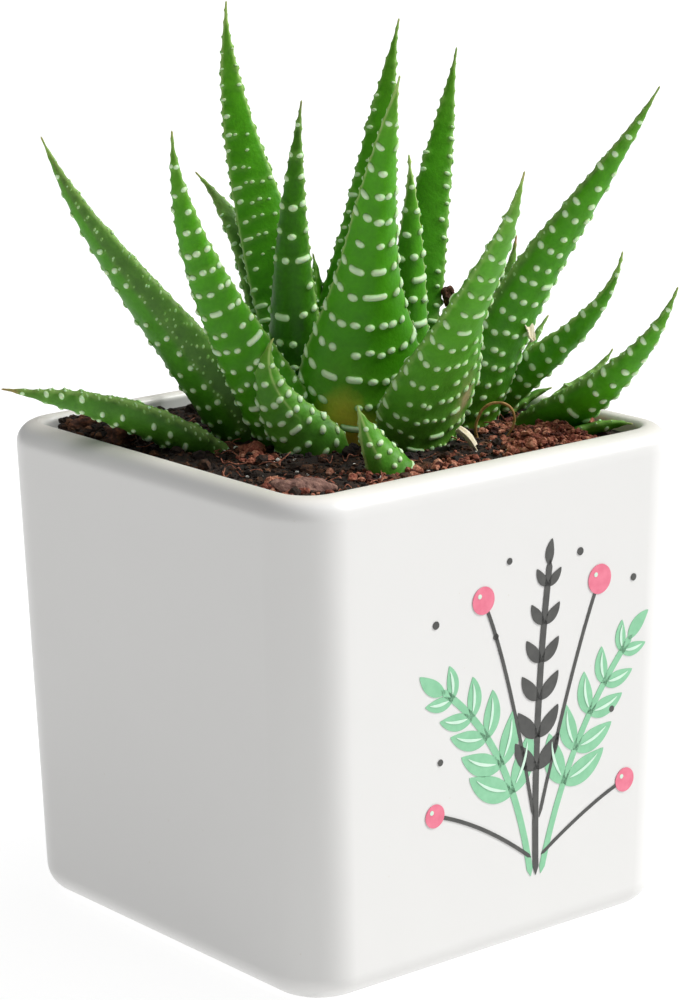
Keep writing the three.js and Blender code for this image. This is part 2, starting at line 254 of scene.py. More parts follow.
# ceramic decal: ink fired under a thin gloss. Flat colour with a faint uneven lay-down of the ink
def makeDecal(name, colour, pale):
    material, tree, shader = newMaterial(name, Roughness=0.24, IOR=1.5)
    place = addNode(tree, "TexCoord").outputs["Object"]
    cloud = addNode(tree, "TexNoise", values={"Scale": 1 / (1.4 * mm), "Detail": 3}, links={"Vector": place})
    ink = addNode(tree, "ValToRGB", links={"Fac": cloud.outputs["Fac"]}, stops=[(0.35, colour), (0.75, pale)])
    tree.links.new(ink.outputs["Color"], shader.inputs["Base Color"])
    return material


# haworthia skin: a firm, waxy leaf skin. Yellow or brown at the base, deep green above, a pale horny
# line on the margins, a dry olive to rusty tip, soft mottling, painted shade beside the margins and
# low down, paler green painted as light on the swells under the warts, and a dry scab. Its attributes
# come from makeSkin
def makeLeafSkin():
    look = {"spotMm": 2.6, "cellMm": 0.55, "roughness": (0.36, 0.58),
            "swellLight": "#7fb24e", "marginLine": "#b4cf7c", "scab": "#9c9468",
            "fresh": [(0, "#8a6a2c"), (0.05, "#bda036"), (0.11, "#b4b53a"), (0.18, "#4f8f18"),
                      (0.3, "#428c0a"), (0.8, "#489506"), (0.95, "#558f1c"), (0.985, "#7d9a48"),
                      (1, "#958a56")],
            "grey": [(0, "#5a4630"), (0.06, "#6c6d38"), (0.14, "#557c34"), (0.8, "#5a823a"),
                     (0.94, "#66823c"), (0.975, "#a8744e"), (1, "#b05c40")]}
    material, tree, shader = newMaterial("haworthia leaf skin", IOR=1.42, Specular_IOR_Level=0.28,
                                         Subsurface_Weight=0.12, Subsurface_Scale=1.2 * mm)
    shader.inputs["Subsurface Radius"].default_value = (0.5, 1, 0.2)
    place = addNode(tree, "TexCoord").outputs["Object"]
    along, edge, dull, tone, band, dry = (addNode(tree, "Attribute", attribute_name=key).outputs["Fac"]
                                          for key in ("along", "edge", "dull", "tone", "band", "dry"))
    spot = addNode(tree, "TexNoise", values={"Scale": 1 / (look["spotMm"] * mm), "Detail": 4},
                   links={"Vector": place}).outputs["Fac"]
    cells = addNode(tree, "TexNoise", values={"Scale": 1 / (look["cellMm"] * mm), "Detail": 2},
                    links={"Vector": place}).outputs["Fac"]
    # the green of the place along the leaf, with an uneven border, fresh or grey
    drift = addNode(tree, "Math", operation="MULTIPLY_ADD", values=aroundZero(0.07), links={0: spot})
    placeAlong = addNode(tree, "Math", operation="ADD", links={0: along, 1: drift.outputs["Value"]})
    fresh = addNode(tree, "ValToRGB", links={"Fac": placeAlong.outputs["Value"]}, stops=look["fresh"])
    grey = addNode(tree, "ValToRGB", links={"Fac": placeAlong.outputs["Value"]}, stops=look["grey"])
    green = addNode(tree, "Mix", data_type="RGBA",
                    links={"Factor": dull, colourA: fresh.outputs["Color"], colourB: grey.outputs["Color"]})
    # lighter and darker: mottling, grain, and the tone attribute, which carries painted shade beside the
    # margins and low down and each leaf's painted light and shade
    mottle = addNode(tree, "MapRange", links={"Value": spot},
                     values={"From Min": 0.3, "From Max": 0.7, "To Min": -0.11, "To Max": 0.11})
    grainy = addNode(tree, "Math", operation="MULTIPLY_ADD", values=aroundZero(0.36), links={0: cells})
    mottled = addNode(tree, "Math", operation="ADD",
                      links={0: mottle.outputs["Result"], 1: grainy.outputs["Value"]})
    light = addNode(tree, "Math", operation="ADD", links={0: mottled.outputs["Value"], 1: tone})
    lightness = addNode(tree, "Math", operation="ADD", values={1: 1}, links={0: light.outputs["Value"]})
    toned = addNode(tree, "HueSaturation",
                    links={"Color": green.outputs[mixedColour], "Value": lightness.outputs["Value"]})
    # painted light on the swells under the warts, the line on the margins, then the scab
    swellLight = addNode(tree, "MapRange", values={"From Min": 0.3, "To Max": 0.4}, links={"Value": band})
    banded = addNode(tree, "Mix", data_type="RGBA", values={colourB: linear(look["swellLight"])},
                     links={"Factor": swellLight.outputs["Result"], colourA: toned.outputs["Color"]})
    lined = addNode(tree, "Mix", data_type="RGBA", values={colourB: linear(look["marginLine"])},
                    links={"Factor": edge, colourA: banded.outputs[mixedColour]})
    broken = addNode(tree, "Math", operation="MULTIPLY_ADD", values=aroundZero(2.4), links={0: spot})
    patchy = addNode(tree, "Math", operation="ADD", links={0: broken.outputs["Value"], 1: dry})
    patch = addNode(tree, "Math", operation="MULTIPLY", use_clamp=True,
                    links={0: patchy.outputs["Value"], 1: dry})
    skinned = addNode(tree, "Mix", data_type="RGBA", values={colourB: linear(look["scab"])},
                      links={"Factor": patch.outputs["Value"], colourA: lined.outputs[mixedColour]})
    smooth, rough = look["roughness"]
    gloss = addNode(tree, "MapRange", values={"To Min": smooth, "To Max": rough}, links={"Value": spot})
    relief = addNode(tree, "Bump", values={"Strength": 0.4, "Distance": 0.14 * mm}, links={"Height": cells})
    tree.links.new(skinned.outputs[mixedColour], shader.inputs["Base Color"])
    tree.links.new(gloss.outputs["Result"], shader.inputs["Roughness"])
    tree.links.new(relief.outputs["Normal"], shader.inputs["Normal"])
    return material


# tubercle wax: pearly warts of dead waxy cells. Matt, white on top, green where they meet the skin
def makeTubercleWax():
    look = {"wearMm": 0.5, "faint": "#6fa542",
            "pearl": [(0, "#4c8f14"), (0.2, "#7db052"), (0.45, "#b2d79c"), (0.85, "#cfe8be")]}
    material, tree, shader = newMaterial("pearly tubercle wax", Roughness=0.55, IOR=1.42,
                                         Subsurface_Weight=0.15, Subsurface_Scale=0.6 * mm)
    place = addNode(tree, "TexCoord").outputs["Object"]
    rise, faint = (addNode(tree, "Attribute", attribute_name=key).outputs["Fac"] for key in ("rise", "faint"))
    wear = addNode(tree, "TexNoise", values={"Scale": 1 / (look["wearMm"] * mm), "Detail": 2},
                   links={"Vector": place})
    worn = addNode(tree, "Math", operation="MULTIPLY_ADD", values=aroundZero(0.3),
                   links={0: wear.outputs["Fac"]})
    height = addNode(tree, "Math", operation="ADD", links={0: rise, 1: worn.outputs["Value"]})
    pearl = addNode(tree, "ValToRGB", links={"Fac": height.outputs["Value"]}, stops=look["pearl"])
    paled = addNode(tree, "Mix", data_type="RGBA", values={colourB: linear(look["faint"])},
                    links={"Factor": faint, colourA: pearl.outputs["Color"]})
    tree.links.new(paled.outputs[mixedColour], shader.inputs["Base Color"])
    return material


# potting mix, bark, coir, husk and root are all dry plant matter: matt, with a rough broken surface.
# grainMm is the size of the crumbs or fibres, relief is how rough it is in millimetres, stretch draws
# the grain out along the piece, and shiftBy names an attribute that makes each crumb lighter or darker
def makePlantMatter(name, grainMm, stops, roughness=0.9, relief=0.25, stretch=(1, 1, 1), shiftBy=None):
    material, tree, shader = newMaterial(name, Roughness=roughness, IOR=1.45)
    place = addNode(tree, "TexCoord").outputs["Object"]
    drawn = addNode(tree, "Mapping", values={"Scale": stretch}, links={"Vector": place})
    grain = addNode(tree, "TexNoise", values={"Scale": 1 / (grainMm * mm), "Detail": 5, "Roughness": 0.65},
                    links={"Vector": drawn.outputs["Vector"]})
    level = grain.outputs["Fac"]
    if shiftBy:
        own = addNode(tree, "Attribute", attribute_name=shiftBy)
        level = addNode(tree, "Math", operation="ADD",
                        links={0: grain.outputs["Fac"], 1: own.outputs["Fac"]}).outputs["Value"]
    colour = addNode(tree, "ValToRGB", links={"Fac": level}, stops=stops)
    bump = addNode(tree, "Bump", values={"Strength": 0.8, "Distance": relief * mm},
                   links={"Height": grain.outputs["Fac"]})
    tree.links.new(colour.outputs["Color"], shader.inputs["Base Color"])
    tree.links.new(bump.outputs["Normal"], shader.inputs["Normal"])
    return material


glaze = makeGlaze()
biscuit = makeBiscuit()
decals = {
    "print_dark": makeDecal("charcoal ceramic decal", "#3e3e3c", "#4a4a47"),
    "print_mint": makeDecal("mint ceramic decal", "#80bf95", "#8cc9a0"),
    "print_pale": makeDecal("pale mint ceramic decal", "#c6e4d0", "#d3ecda"),
    "print_pink": makeDecal("pink ceramic decal", "#de6c85", "#e87d94"),
}
leafSkin = makeLeafSkin()
tubercleWax = makeTubercleWax()
peat = makePlantMatter(
    "damp peat mix", 1.3, [(0.3, "#0d0805"), (0.5, "#1f130b"), (0.62, "#382214"), (0.8, "#5a3a26")],
    relief=0.5)
peatCrumb = makePlantMatter(
    "peat crumb", 0.6, [(0.25, "#0f0906"), (0.52, "#27180e"), (0.76, "#5a3822"), (0.97, "#96694a")],
    shiftBy="tone")
coirFibre = makePlantMatter(
    "coir pith and fibre", 0.5, [(0.22, "#381910"), (0.46, "#7d3f2e"), (0.7, "#b3745a"), (0.95, "#d9ab90")],
    stretch=(1, 1, 0.4), shiftBy="tone")
peatClot = makePlantMatter(
    "clot of peat and root hair", 0.5, [(0.3, "#20130d"), (0.5, "#4a2c20"), (0.75, "#80523c")])
bark = makePlantMatter(
    "pine bark", 1.6, [(0.25, "#20130e"), (0.5, "#4b2c1f"), (0.66, "#7d4b30"), (0.85, "#b98555")],
    relief=0.35, stretch=(1, 1, 2.5))
barkChip = makePlantMatter(
    "flat bark chip", 0.9, [(0.25, "#4a332c"), (0.5, "#7f5d53"), (0.75, "#a5826f")], stretch=(2.2, 0.7, 1))
perlite = makePlantMatter(
    "expanded perlite", 0.5, [(0.2, "#b9b3a4"), (0.5, "#e4e1d8"), (0.8, "#f4f2ec")], relief=0.2)
husk = makePlantMatter(
    "dry leaf husk", 1.5, [(0.2, "#b39b6c"), (0.42, "#e0d3b0"), (0.7, "#f2ebd6")],
    relief=0.12, stretch=(1, 1, 0.25))
rootBark = makePlantMatter(
    "dry root skin", 0.8, [(0.25, "#6b4a26"), (0.5, "#a1793f"), (0.8, "#cfae74")], roughness=0.7, relief=0.08)
print("materials ready")


# pot: a cube, tapered, rounded, hollowed, with a bare foot ring

pot = {
    "topWidth": 76, "baseWidth": 72.5, "height": 75.7, "corner": 8.9,
    "wall": 4.5, "floor": 5, "rimRound": 3.3, "lipRound": 1.1, "footRound": 4.2,
    "footInset": 0.9, "footWidth": 2.8, "footStep": 0.4, "footRecess": 0.9,
}


def potHalfAt(z):
    # half the pot's outer width at a height
    return (pot["baseWidth"] + (pot["topWidth"] - pot["baseWidth"]) * z / pot["height"]) / 2


def fromOutline(point):
    # signed distance in millimetres from the pot's outer outline at that height, minus is inside
    straight = potHalfAt(point.z / mm) - pot["corner"]
    overX = abs(point.x) / mm - straight
    overY = abs(point.y) / mm - straight
    outside = math.hypot(max(overX, 0), max(overY, 0))
    return outside + min(max(overX, overY), 0) - pot["corner"]


def extrudeBy(rise):
    bpy.ops.mesh.extrude_region_move(TRANSFORM_OT_translate={"value": (0, 0, rise * mm)})


def resizeBy(share):
    bpy.ops.transform.resize(value=(share, share, 1), center_override=(0, 0, 0))


def roundPicked(radius, segments):
    bpy.ops.mesh.bevel(offset=radius * mm, segments=segments, profile=0.5, affect="EDGES")


def nearHeight(point, height):
    return abs(point.z / mm - height) < 0.05


def isFlatAt(face, height):
    # a face that looks straight down, and isn't part of the rounding beside it
    return face.normal.z < -0.9999 and nearHeight(face.calc_center_median(), height)


def makePot():
    # gives the glazed pot and its bare foot ring
    deselectAll()
    top, height = pot["topWidth"] * mm, pot["height"] * mm
    bpy.ops.mesh.primitive_cube_add(size=1, location=(0, 0, height / 2), scale=(top, top, height))
    piece = bpy.context.object
    piece.name = "glazed_pot"
    bpy.ops.object.transform_apply(location=True, rotation=True, scale=True)
    editMode(piece)
    pick("faces", lambda f: f.normal.z < -0.9)
    resizeBy(pot["baseWidth"] / pot["topWidth"])
    pick("edges", lambda e: abs(e.verts[0].co.z - e.verts[1].co.z) > height / 2)
    roundPicked(pot["corner"], 14)
    # the hollow
    pick("faces", lambda f: f.normal.z > 0.9)
    bpy.ops.mesh.inset(thickness=pot["wall"] * mm, depth=0)
    extrudeBy(pot["floor"] - pot["height"])
    resizeBy((potHalfAt(pot["floor"]) - pot["wall"]) / (potHalfAt(pot["height"]) - pot["wall"]))
    # rim, lip and foot roundings
    def atTop(edge):
        return all(nearHeight(v.co, pot["height"]) for v in edge.verts)

    pick("edges", lambda e: atTop(e) and all(fromOutline(v.co) > -1 for v in e.verts))
    roundPicked(pot["rimRound"], 9)
    pick("edges", lambda e: atTop(e) and all(fromOutline(v.co) < -pot["wall"] + 0.2 for v in e.verts))
    roundPicked(pot["lipRound"], 5)
    pick("edges", lambda e: all(nearHeight(v.co, 0) for v in e.verts))
    roundPicked(pot["footRound"], 9)
    # the foot: the glaze stops at a shallow step, the bare ring stands in it, the middle is recessed
    half = potHalfAt(0) - pot["footRound"]
    stepShare = (half - pot["footInset"]) / half
    innerShare = (half - pot["footInset"] - pot["footWidth"]) / (half - pot["footInset"])
    pick("faces", lambda f: isFlatAt(f, 0))
    bpy.ops.mesh.extrude_region_move()
    resizeBy(stepShare)
    extrudeBy(pot["footStep"])
    bpy.ops.mesh.duplicate()
    bpy.ops.mesh.separate(type="SELECTED")
    ring = [o for o in bpy.context.selected_objects if o != piece][0]
    pick("faces", lambda f: isFlatAt(f, pot["footStep"]))
    bpy.ops.mesh.extrude_region_move()
    resizeBy(innerShare)
    extrudeBy(pot["footRecess"])
    selectOnly(piece)
    bpy.ops.object.shade_smooth_by_angle(angle=math.radians(35))
    addModifier(piece, "WEIGHTED_NORMAL", keep_sharp=True, weight=80)
    # the ring: an edge loop drawn inwards, then down to the ground, with softened edges
    ring.name = "bare_foot_ring"
    editMode(ring)
    bpy.ops.mesh.select_all(action="SELECT")
    bpy.ops.mesh.delete(type="ONLY_FACE")
    bpy.ops.mesh.select_all(action="SELECT")
    bpy.ops.mesh.extrude_edges_move()
    resizeBy(innerShare)
    bpy.ops.mesh.select_all(action="SELECT")
    extrudeBy(-pot["footStep"])
    outwards()
    addModifier(ring, "BEVEL", width=0.12 * mm, segments=2, limit_method="ANGLE")
    return piece, ring


potPiece, footRing = makePot()
finishPiece(potPiece, "white_glaze", glaze, "pot", smooth=False)
finishPiece(footRing, "bare_foot", biscuit, smooth=False)
print("pot ready")


# print: a plain bouquet of leafy stems and round buds, fired on the -Y face

printArt = {
    "lift": {"print_mint": 0.01, "print_dark": 0.035, "print_pink": 0.055, "print_pale": 0.08},
    "thickness": 0.06, "stemWidth": 1.15, "stalkWidth": 0.6, "shine": 0.35, "veinWidth": 0.45,
    "leavesFrom": 0.34, "leavesTo": 0.92, "shrink": 0.45, "slimness": 0.42, "leafAngle": 42,
    "stems": [  # start, pull and end across the face and up it, colour, leaf pairs, longest leaf
        {"path": [(6, 11), (2, 34), (-12, 44)], "slot": "print_mint", "leaves": 5, "leafLength": 9.5},
        {"path": [(7, 11), (6, 36), (9, 60)], "slot": "print_dark", "leaves": 6, "leafLength": 6.5},
        {"path": [(8, 11), (13, 32), (26, 45)], "slot": "print_mint", "leaves": 5, "leafLength": 9},
    ],
    "stalks": [  # charcoal stalks, each with a pink bud at its end
        {"path": [(6.5, 20), (1, 46), (-4, 56)], "bud": 2.1},
        {"path": [(7.5, 20), (14, 44), (19, 55)], "bud": 2.3},
        {"path": [(6, 14), (-4, 22), (-13, 25)], "bud": 1.8},
        {"path": [(8, 14), (18, 20), (25, 22)], "bud": 1.9},
    ],
    "dots": [(-13, 54, 0.6), (-1.5, 50, 0.5), (22, 34, 0.5), (15, 60, 0.6), (-12, 33, 0.5), (26, 54, 0.55),
             (1, 61, 0.5)],
}


def onFace(across, up, lift):
    # a point of the tapered -Y face, lifted off it
    return (across, -potHalfAt(up) - lift, up)


def quadratic(path, steps):
    # points and directions of a curve that starts and ends on the path and is pulled by its middle point
    start, pull, end = (np.array(p, float) for p in path)
    t = np.linspace(0, 1, steps)[:, None]
    points = (1 - t) ** 2 * start + 2 * t * (1 - t) * pull + t ** 2 * end
    slopes = 2 * (1 - t) * (pull - start) + 2 * t * (end - pull)
    return points, slopes / np.linalg.norm(slopes, axis=1)[:, None]


def printShape(points, slopes, halfWidths, lift):
    # one closed, slightly raised strip of ink: its outline is the line widened by halfWidths
    left = points + np.stack([-slopes[:, 1], slopes[:, 0]], 1) * halfWidths[:, None]
    right = points - np.stack([-slopes[:, 1], slopes[:, 0]], 1) * halfWidths[:, None]
    low, high = lift, lift + printArt["thickness"]
    corners, faces = [], []
    for (lx, lz), (rx, rz) in zip(left, right):
        corners += [onFace(lx, lz, high), onFace(rx, rz, high), onFace(rx, rz, low), onFace(lx, lz, low)]
    last = len(left) - 1
    for i in range(last):
        for side in range(4):
            a, b = 4 * i + side, 4 * i + (side + 1) % 4
            faces.append((a, b, b + 4, a + 4))
    faces.append((3, 2, 1, 0))
    faces.append(tuple(4 * last + side for side in range(4)))
    return corners, faces


def inkStroke(slotName, path, width):
    # a pen stroke with round ends
    points, slopes = quadratic(path, 40)
    fromStart = np.concatenate([[0], np.cumsum(np.linalg.norm(np.diff(points, axis=0), axis=1))])
    toEnd = np.minimum(fromStart, fromStart[-1] - fromStart)
    half = width / 2
    near = np.clip(toEnd / half, 0, 1)
    halves = half * np.sqrt(np.maximum(1 - (1 - near) ** 2, 0.004))
    return printShape(points, slopes, halves, printArt["lift"][slotName])


def inkLeaf(slotName, foot, angle, length, width, curl=0.12):
    # a pointed oval leaf with a slight bend
    way = np.array([math.cos(angle), math.sin(angle)])
    across = np.array([-way[1], way[0]])
    start = np.array(foot, float)
    pull, tip = start + way * length / 2 + across * length * curl, start + way * length
    steps = 24
    points, slopes = quadratic([start, pull, tip], steps)
    share = np.linspace(0, 1, steps)
    halves = width / 2 * np.sin(np.pi * share ** 0.85) ** 0.8 + 0.02
    return printShape(points, slopes, halves, printArt["lift"][slotName])


def inkDot(slotName, centre, radius):
    # a round dot, drawn as a short line that is as wide as a circle
    steps = 20
    angles = np.linspace(0, math.pi, steps)
    points = np.stack([centre[0] - radius * np.cos(angles), np.full(steps, float(centre[1]))], 1)
    slopes = np.tile([1.0, 0.0], (steps, 1))
    return printShape(points, slopes, radius * np.sin(angles) + 0.01, printArt["lift"][slotName])


def makePrint():
    # all ink of one colour is one piece
    shapes = {name: [] for name in decals}

    def draw(shape, slotName, *how, **more):
        shapes[slotName].append(shape(slotName, *how, **more))

    for stem in printArt["stems"]:
        slotName, longest = stem["slot"], stem["leafLength"]
        points, slopes = quadratic(stem["path"], 60)
        draw(inkStroke, slotName, stem["path"], printArt["stemWidth"])
        for pair in range(stem["leaves"]):
            upwards = pair / (stem["leaves"] - 1)
            share = printArt["leavesFrom"] + (printArt["leavesTo"] - printArt["leavesFrom"]) * upwards
            spot = int(share * (len(points) - 1))
            foot, slope = points[spot], slopes[spot]
            length = longest * (1 - printArt["shrink"] * upwards)
            for side in (1, -1):
                angle = math.atan2(slope[1], slope[0]) + side * math.radians(printArt["leafAngle"])
                draw(inkLeaf, slotName, foot, angle, length, length * printArt["slimness"], curl=0.12 * side)
                if slotName == "print_mint":  # the bigger leaves have a pale vein
                    inner = foot + np.array([math.cos(angle), math.sin(angle)]) * length * 0.16
                    draw(inkLeaf, "print_pale", inner, angle, length * 0.68, printArt["veinWidth"],
                         curl=0.15 * side)
        tip, slope = points[-1], slopes[-1]
        draw(inkLeaf, slotName, tip - slope, math.atan2(slope[1], slope[0]), longest * 0.62, longest * 0.25)
    for stalk in printArt["stalks"]:
        draw(inkStroke, "print_dark", stalk["path"], printArt["stalkWidth"])
        (across, up), bud = stalk["path"][2], stalk["bud"]
        draw(inkDot, "print_pink", (across, up), bud)
        draw(inkDot, "print_pale", (across - bud * 0.35, up + bud * 0.35), printArt["shine"])
    for across, up, radius in printArt["dots"]:
        draw(inkDot, "print_dark", (across, up), radius)
    for slotName, parts in shapes.items():
        points, faces = [], []
        for corners, ownFaces in parts:
            faces += [tuple(i + len(points) for i in face) for face in ownFaces]
            points += corners
        piece = meshPiece(slotName.replace("print", "bouquet"), points, faces)
        editMode(piece)
        outwards()
        finishPiece(piece, slotName, decals[slotName], smooth=False)


makePrint()
print("print ready")


# leaves: one dense skin each, on the same line, width and section as its CAD solid

leafForm = {
    "ringMm": 0.3, "backSides": 34, "innerSides": 16,  # how fine the skin is
    "tipHalf": 0.16, "belly": 0.2, "rootNarrowing": 0.8, "taperPower": 1.1, "taperFullness": 0.3,
    "footPlace": 0.25, "footSpread": 0.17,
    "pitch": (3, 3.2, 3), "gap": 1.65, "sag": 0.18, "rowsFrom": 3.5, "rowsTo": 0.94,
    "padMm": 0.85, "padRise": 0.16, "toothMm": 0.62, "toothRise": 0.23, "mostRise": 0.42,
}
# Each leaf: its root in mm, the way it leans, its lean at root, middle and tip, its length and width,
# the way its back looks, and where they aren't the usual ones the belly and what the foot adds.
# Then its look: pitch is the spacing of the rows low, middle and high, gap the one along a row, dot
# the size of the warts, faint how green they are, barShare how many join into bars, sag and tilt how
# the rows hang, shade a greyer side (from and to degrees across the section), dull its greyness, tone
# how light it is: partly its own green, partly painted light on leaves that get much light and painted
# shade on leaves that lie in shade, line and keel its pale lines, rust a rusty tip, yellow an unripe
# foot, dry a scab (mm up, degrees across, mm wide), and inner how often the inner face has warts at
# its two edges and in the middle
leaves = {
    "leaf_a1": {"root": (-1.7, -6.9, 68.5), "way": -104, "lean": (-1, 14, 28), "length": 64.5,
                "width": 13.2, "back": -114, "foot": 0.5, "pitch": (3.3, 3.8, 3.4), "barShare": 0.17,
                "sag": 0.27, "tone": 0.15, "line": 0.6, "yellow": (0.09, 66)},
    "leaf_a2": {"root": (-9.4, -8, 70.5), "way": 159, "lean": (14, 34, -32), "length": 23.5,
                "width": 10.7, "back": -142, "pitch": (2.3, 2.4, 2.2), "gap": 1.45, "dot": 0.86,
                "dull": 0.35, "tone": 0.08, "keel": 122},
    "leaf_a3": {"root": (-7.8, -2.4, 70), "way": 170, "lean": (25, 27, 0), "length": 57.5, "width": 10.6,
                "back": -142, "pitch": (2.9, 3.1, 3.2), "gap": 1.5, "dot": 0.82, "sag": 0.08},
    "leaf_a4": {"root": (-9.8, 4.9, 70), "way": 149, "lean": (27, 37, 22), "length": 60.5, "width": 12.2,
                "back": -174, "pitch": (3, 3, 3.2), "gap": 2.2, "dot": 0.85, "shade": (112, 200),
                "dull": 0.2},
    "leaf_a5": {"root": (-3.9, 4, 71), "way": 100, "lean": (-5, 20, -5), "length": 69.5, "width": 9.1,
                "back": 59, "belly": 0.4, "line": 0.4, "inner": (0.95, 0.65, 0.6)},
    "leaf_a6": {"root": (-5.9, 1.3, 71.5), "way": 169, "lean": (5, 0, -9), "length": 53.5, "width": 9.1,
                "back": -144, "pitch": (3.9, 3.9, 3.7), "gap": 1.85, "dot": 0.9, "barShare": 0.12,
                "tone": -0.38},
    "leaf_a7": {"root": (0.5, 2.5, 71), "way": 15, "lean": (23, 14, 21), "length": 66.5, "width": 10.3,
                "back": 42, "foot": 0.25, "belly": 0.3, "inner": (0.6, 0.3, 0.4)},
    "leaf_a8": {"root": (-16.3, 4.5, 70.5), "way": 152, "lean": (46, 71, 79), "length": 38, "width": 10.2,
                "back": 164, "pitch": (2.5, 2.6, 2.8), "gap": 1.7, "dot": 0.8, "shade": (158, 262),
                "dull": 0.4, "tone": -0.16, "rust": 1},
    "leaf_a9": {"root": (-2.8, 8.1, 72), "way": 112, "lean": (6, 19, 49), "length": 44.5, "width": 9.9,
                "back": 84, "dull": 0.9, "tone": -0.1, "inner": (0.9, 0.7, 0.9)},
    "leaf_a10": {"root": (3.9, 8.8, 71.5), "way": 145, "lean": (15, -3, 11), "length": 28.5, "width": 7.6,
                 "back": 117, "belly": 0.4, "inner": (0.8, 0.4, 0.8)},
    "leaf_a11": {"root": (5, 4, 70.5), "way": 36, "lean": (33, 30, 19), "length": 39.5, "width": 8,
                 "back": 43},
    "leaf_a12": {"root": (-0.8, 9.3, 71), "way": 68, "lean": (31, 35, 26), "length": 37, "width": 8,
                 "back": 72},
    "leaf_a13": {"root": (-5, 13, 71), "way": 88, "lean": (62, 64, 58), "length": 22, "width": 8.5,
                 "back": 96},
    "leaf_a14": {"root": (8.5, 9.5, 70.5), "way": 44, "lean": (70, 73, 55), "length": 25.5, "width": 8.5,
                 "back": 49, "dull": 0.3},
    "leaf_b1": {"root": (3.6, -13.6, 70), "way": -103, "lean": (2, 45, 25), "length": 61, "width": 12.9,
                "back": -88, "foot": 0.5, "pitch": (3, 3.5, 3.6), "gap": 1.7, "dot": 0.88, "faint": 0.22,
                "sag": 0.27, "dull": 0.3, "tone": 0.16, "dry": (13.5, 120, 2.6)},
    "leaf_b2": {"root": (11.1, -2.6, 71.5), "way": 152, "lean": (5, -4, 4), "length": 44, "width": 8.6,
                "back": -122, "pitch": (3.2, 3.3, 3), "gap": 1.9, "line": 0.7},
    "leaf_b3": {"root": (13, 1.7, 71), "way": 21, "lean": (11, 21, 20), "length": 61.5, "width": 8,
                "back": 51, "belly": 0.4, "tone": -0.06, "inner": (0.15, 0.06, 0.75)},
    "leaf_b4": {"root": (16.4, -9.1, 70.5), "way": -52, "lean": (9, 33, 30), "length": 64, "width": 10.7,
                "back": -95, "pitch": (2.6, 2.8, 2.8), "gap": 1.75, "dot": 0.88, "tilt": 0.1,
                "shade": (-40, 22), "tone": 0.05},
    "leaf_b5": {"root": (19.9, -2.7, 71.5), "way": -12, "lean": (19, 26, 9), "length": 32, "width": 7.6,
                "back": -90, "dot": 0.8, "dull": 0.6, "rust": 1},
    "leaf_b6": {"root": (17, 1, 71), "way": 44, "lean": (29, 32, 26), "length": 34, "width": 7,
                "back": 30},
    "leaf_b7": {"root": (20.5, 1.5, 71), "way": 40, "lean": (65, 71, 52), "length": 21, "width": 8,
                "back": 41},
    "leaf_c1": {"root": (21.5, -4.6, 72), "way": -57, "lean": (34, 50, 11), "length": 38.5, "width": 6.9,
                "back": -105, "pitch": (2.5, 2.7, 2.7), "gap": 1.9, "dot": 0.9, "shade": (-30, 20),
                "line": 0.45},
    "leaf_c2": {"root": (24.2, -13.7, 71.5), "way": -78, "lean": (58, 51, 23), "length": 40, "width": 7.6,
                "back": -108, "pitch": (2.5, 2.8, 2.8), "gap": 1.9, "dot": 0.9, "shade": (-30, 24)},
    "leaf_c3": {"root": (29, -3.4, 72), "way": -5, "lean": (22, 34, 41), "length": 18.5, "width": 4.5,
                "back": -45, "dot": 0.7, "dull": 0.6},
    "leaf_c4": {"root": (29, -11.5, 72), "way": -24, "lean": (14, 62, 30), "length": 18, "width": 4.5,
                "back": -39, "dot": 0.7, "dull": 0.8},
    "leaf_c5": {"root": (22.4, -22, 72.5), "way": -47, "lean": (59, 76, 92), "length": 13.5, "width": 6,
                "back": -51, "dot": 0.75, "tone": -0.16},
    "leaf_c6": {"root": (26.7, -4.7, 72), "way": -43, "lean": (39, 60, 71), "length": 11, "width": 4.5,
                "back": -35, "dot": 0.7, "dull": 0.6},
    "leaf_d1": {"root": (-8.8, -25.3, 71), "way": 157, "lean": (34, 28, 15), "length": 14.5, "width": 7.4,
                "back": -90, "pitch": (2, 2, 2), "gap": 1.5, "dot": 0.75, "dull": 0.3, "tone": 0.1,
                "line": 0.7, "keel": 62},
}


def unit(vectors):
    # the same directions at length 1
    return vectors / np.linalg.norm(vectors, axis=-1, keepdims=True)


def leafLine(leaf):
    # fine samples of the leaf's centre line, with its along, outward and side directions
    t = np.linspace(0, 1, 400)
    low, middle, tip = leaf["lean"]
    lean = np.radians(low + (4 * middle - 3 * low - tip) * t + (2 * low + 2 * tip - 4 * middle) * t * t)
    way, back = math.radians(leaf["way"]), math.radians(leaf["back"])
    along = np.stack([np.sin(lean) * math.cos(way), np.sin(lean) * math.sin(way), np.cos(lean)], 1)
    steps = unit(along[1:] + along[:-1]) * leaf["length"] / (len(t) - 1)
    centre = np.array(leaf["root"]) + np.concatenate([[[0, 0, 0]], np.cumsum(steps, axis=0)])
    facing = np.array([math.cos(back), math.sin(back), 0])
    outward = unit(facing - along * (along @ facing)[:, None])
    return {"t": t, "centre": centre, "along": along, "outward": outward, "side": np.cross(outward, along)}


def lineAt(line, t, key):
    # the centre line's point or direction at shares t of its length
    return np.stack([np.interp(t, line["t"], line[key][:, i]) for i in range(3)], -1)


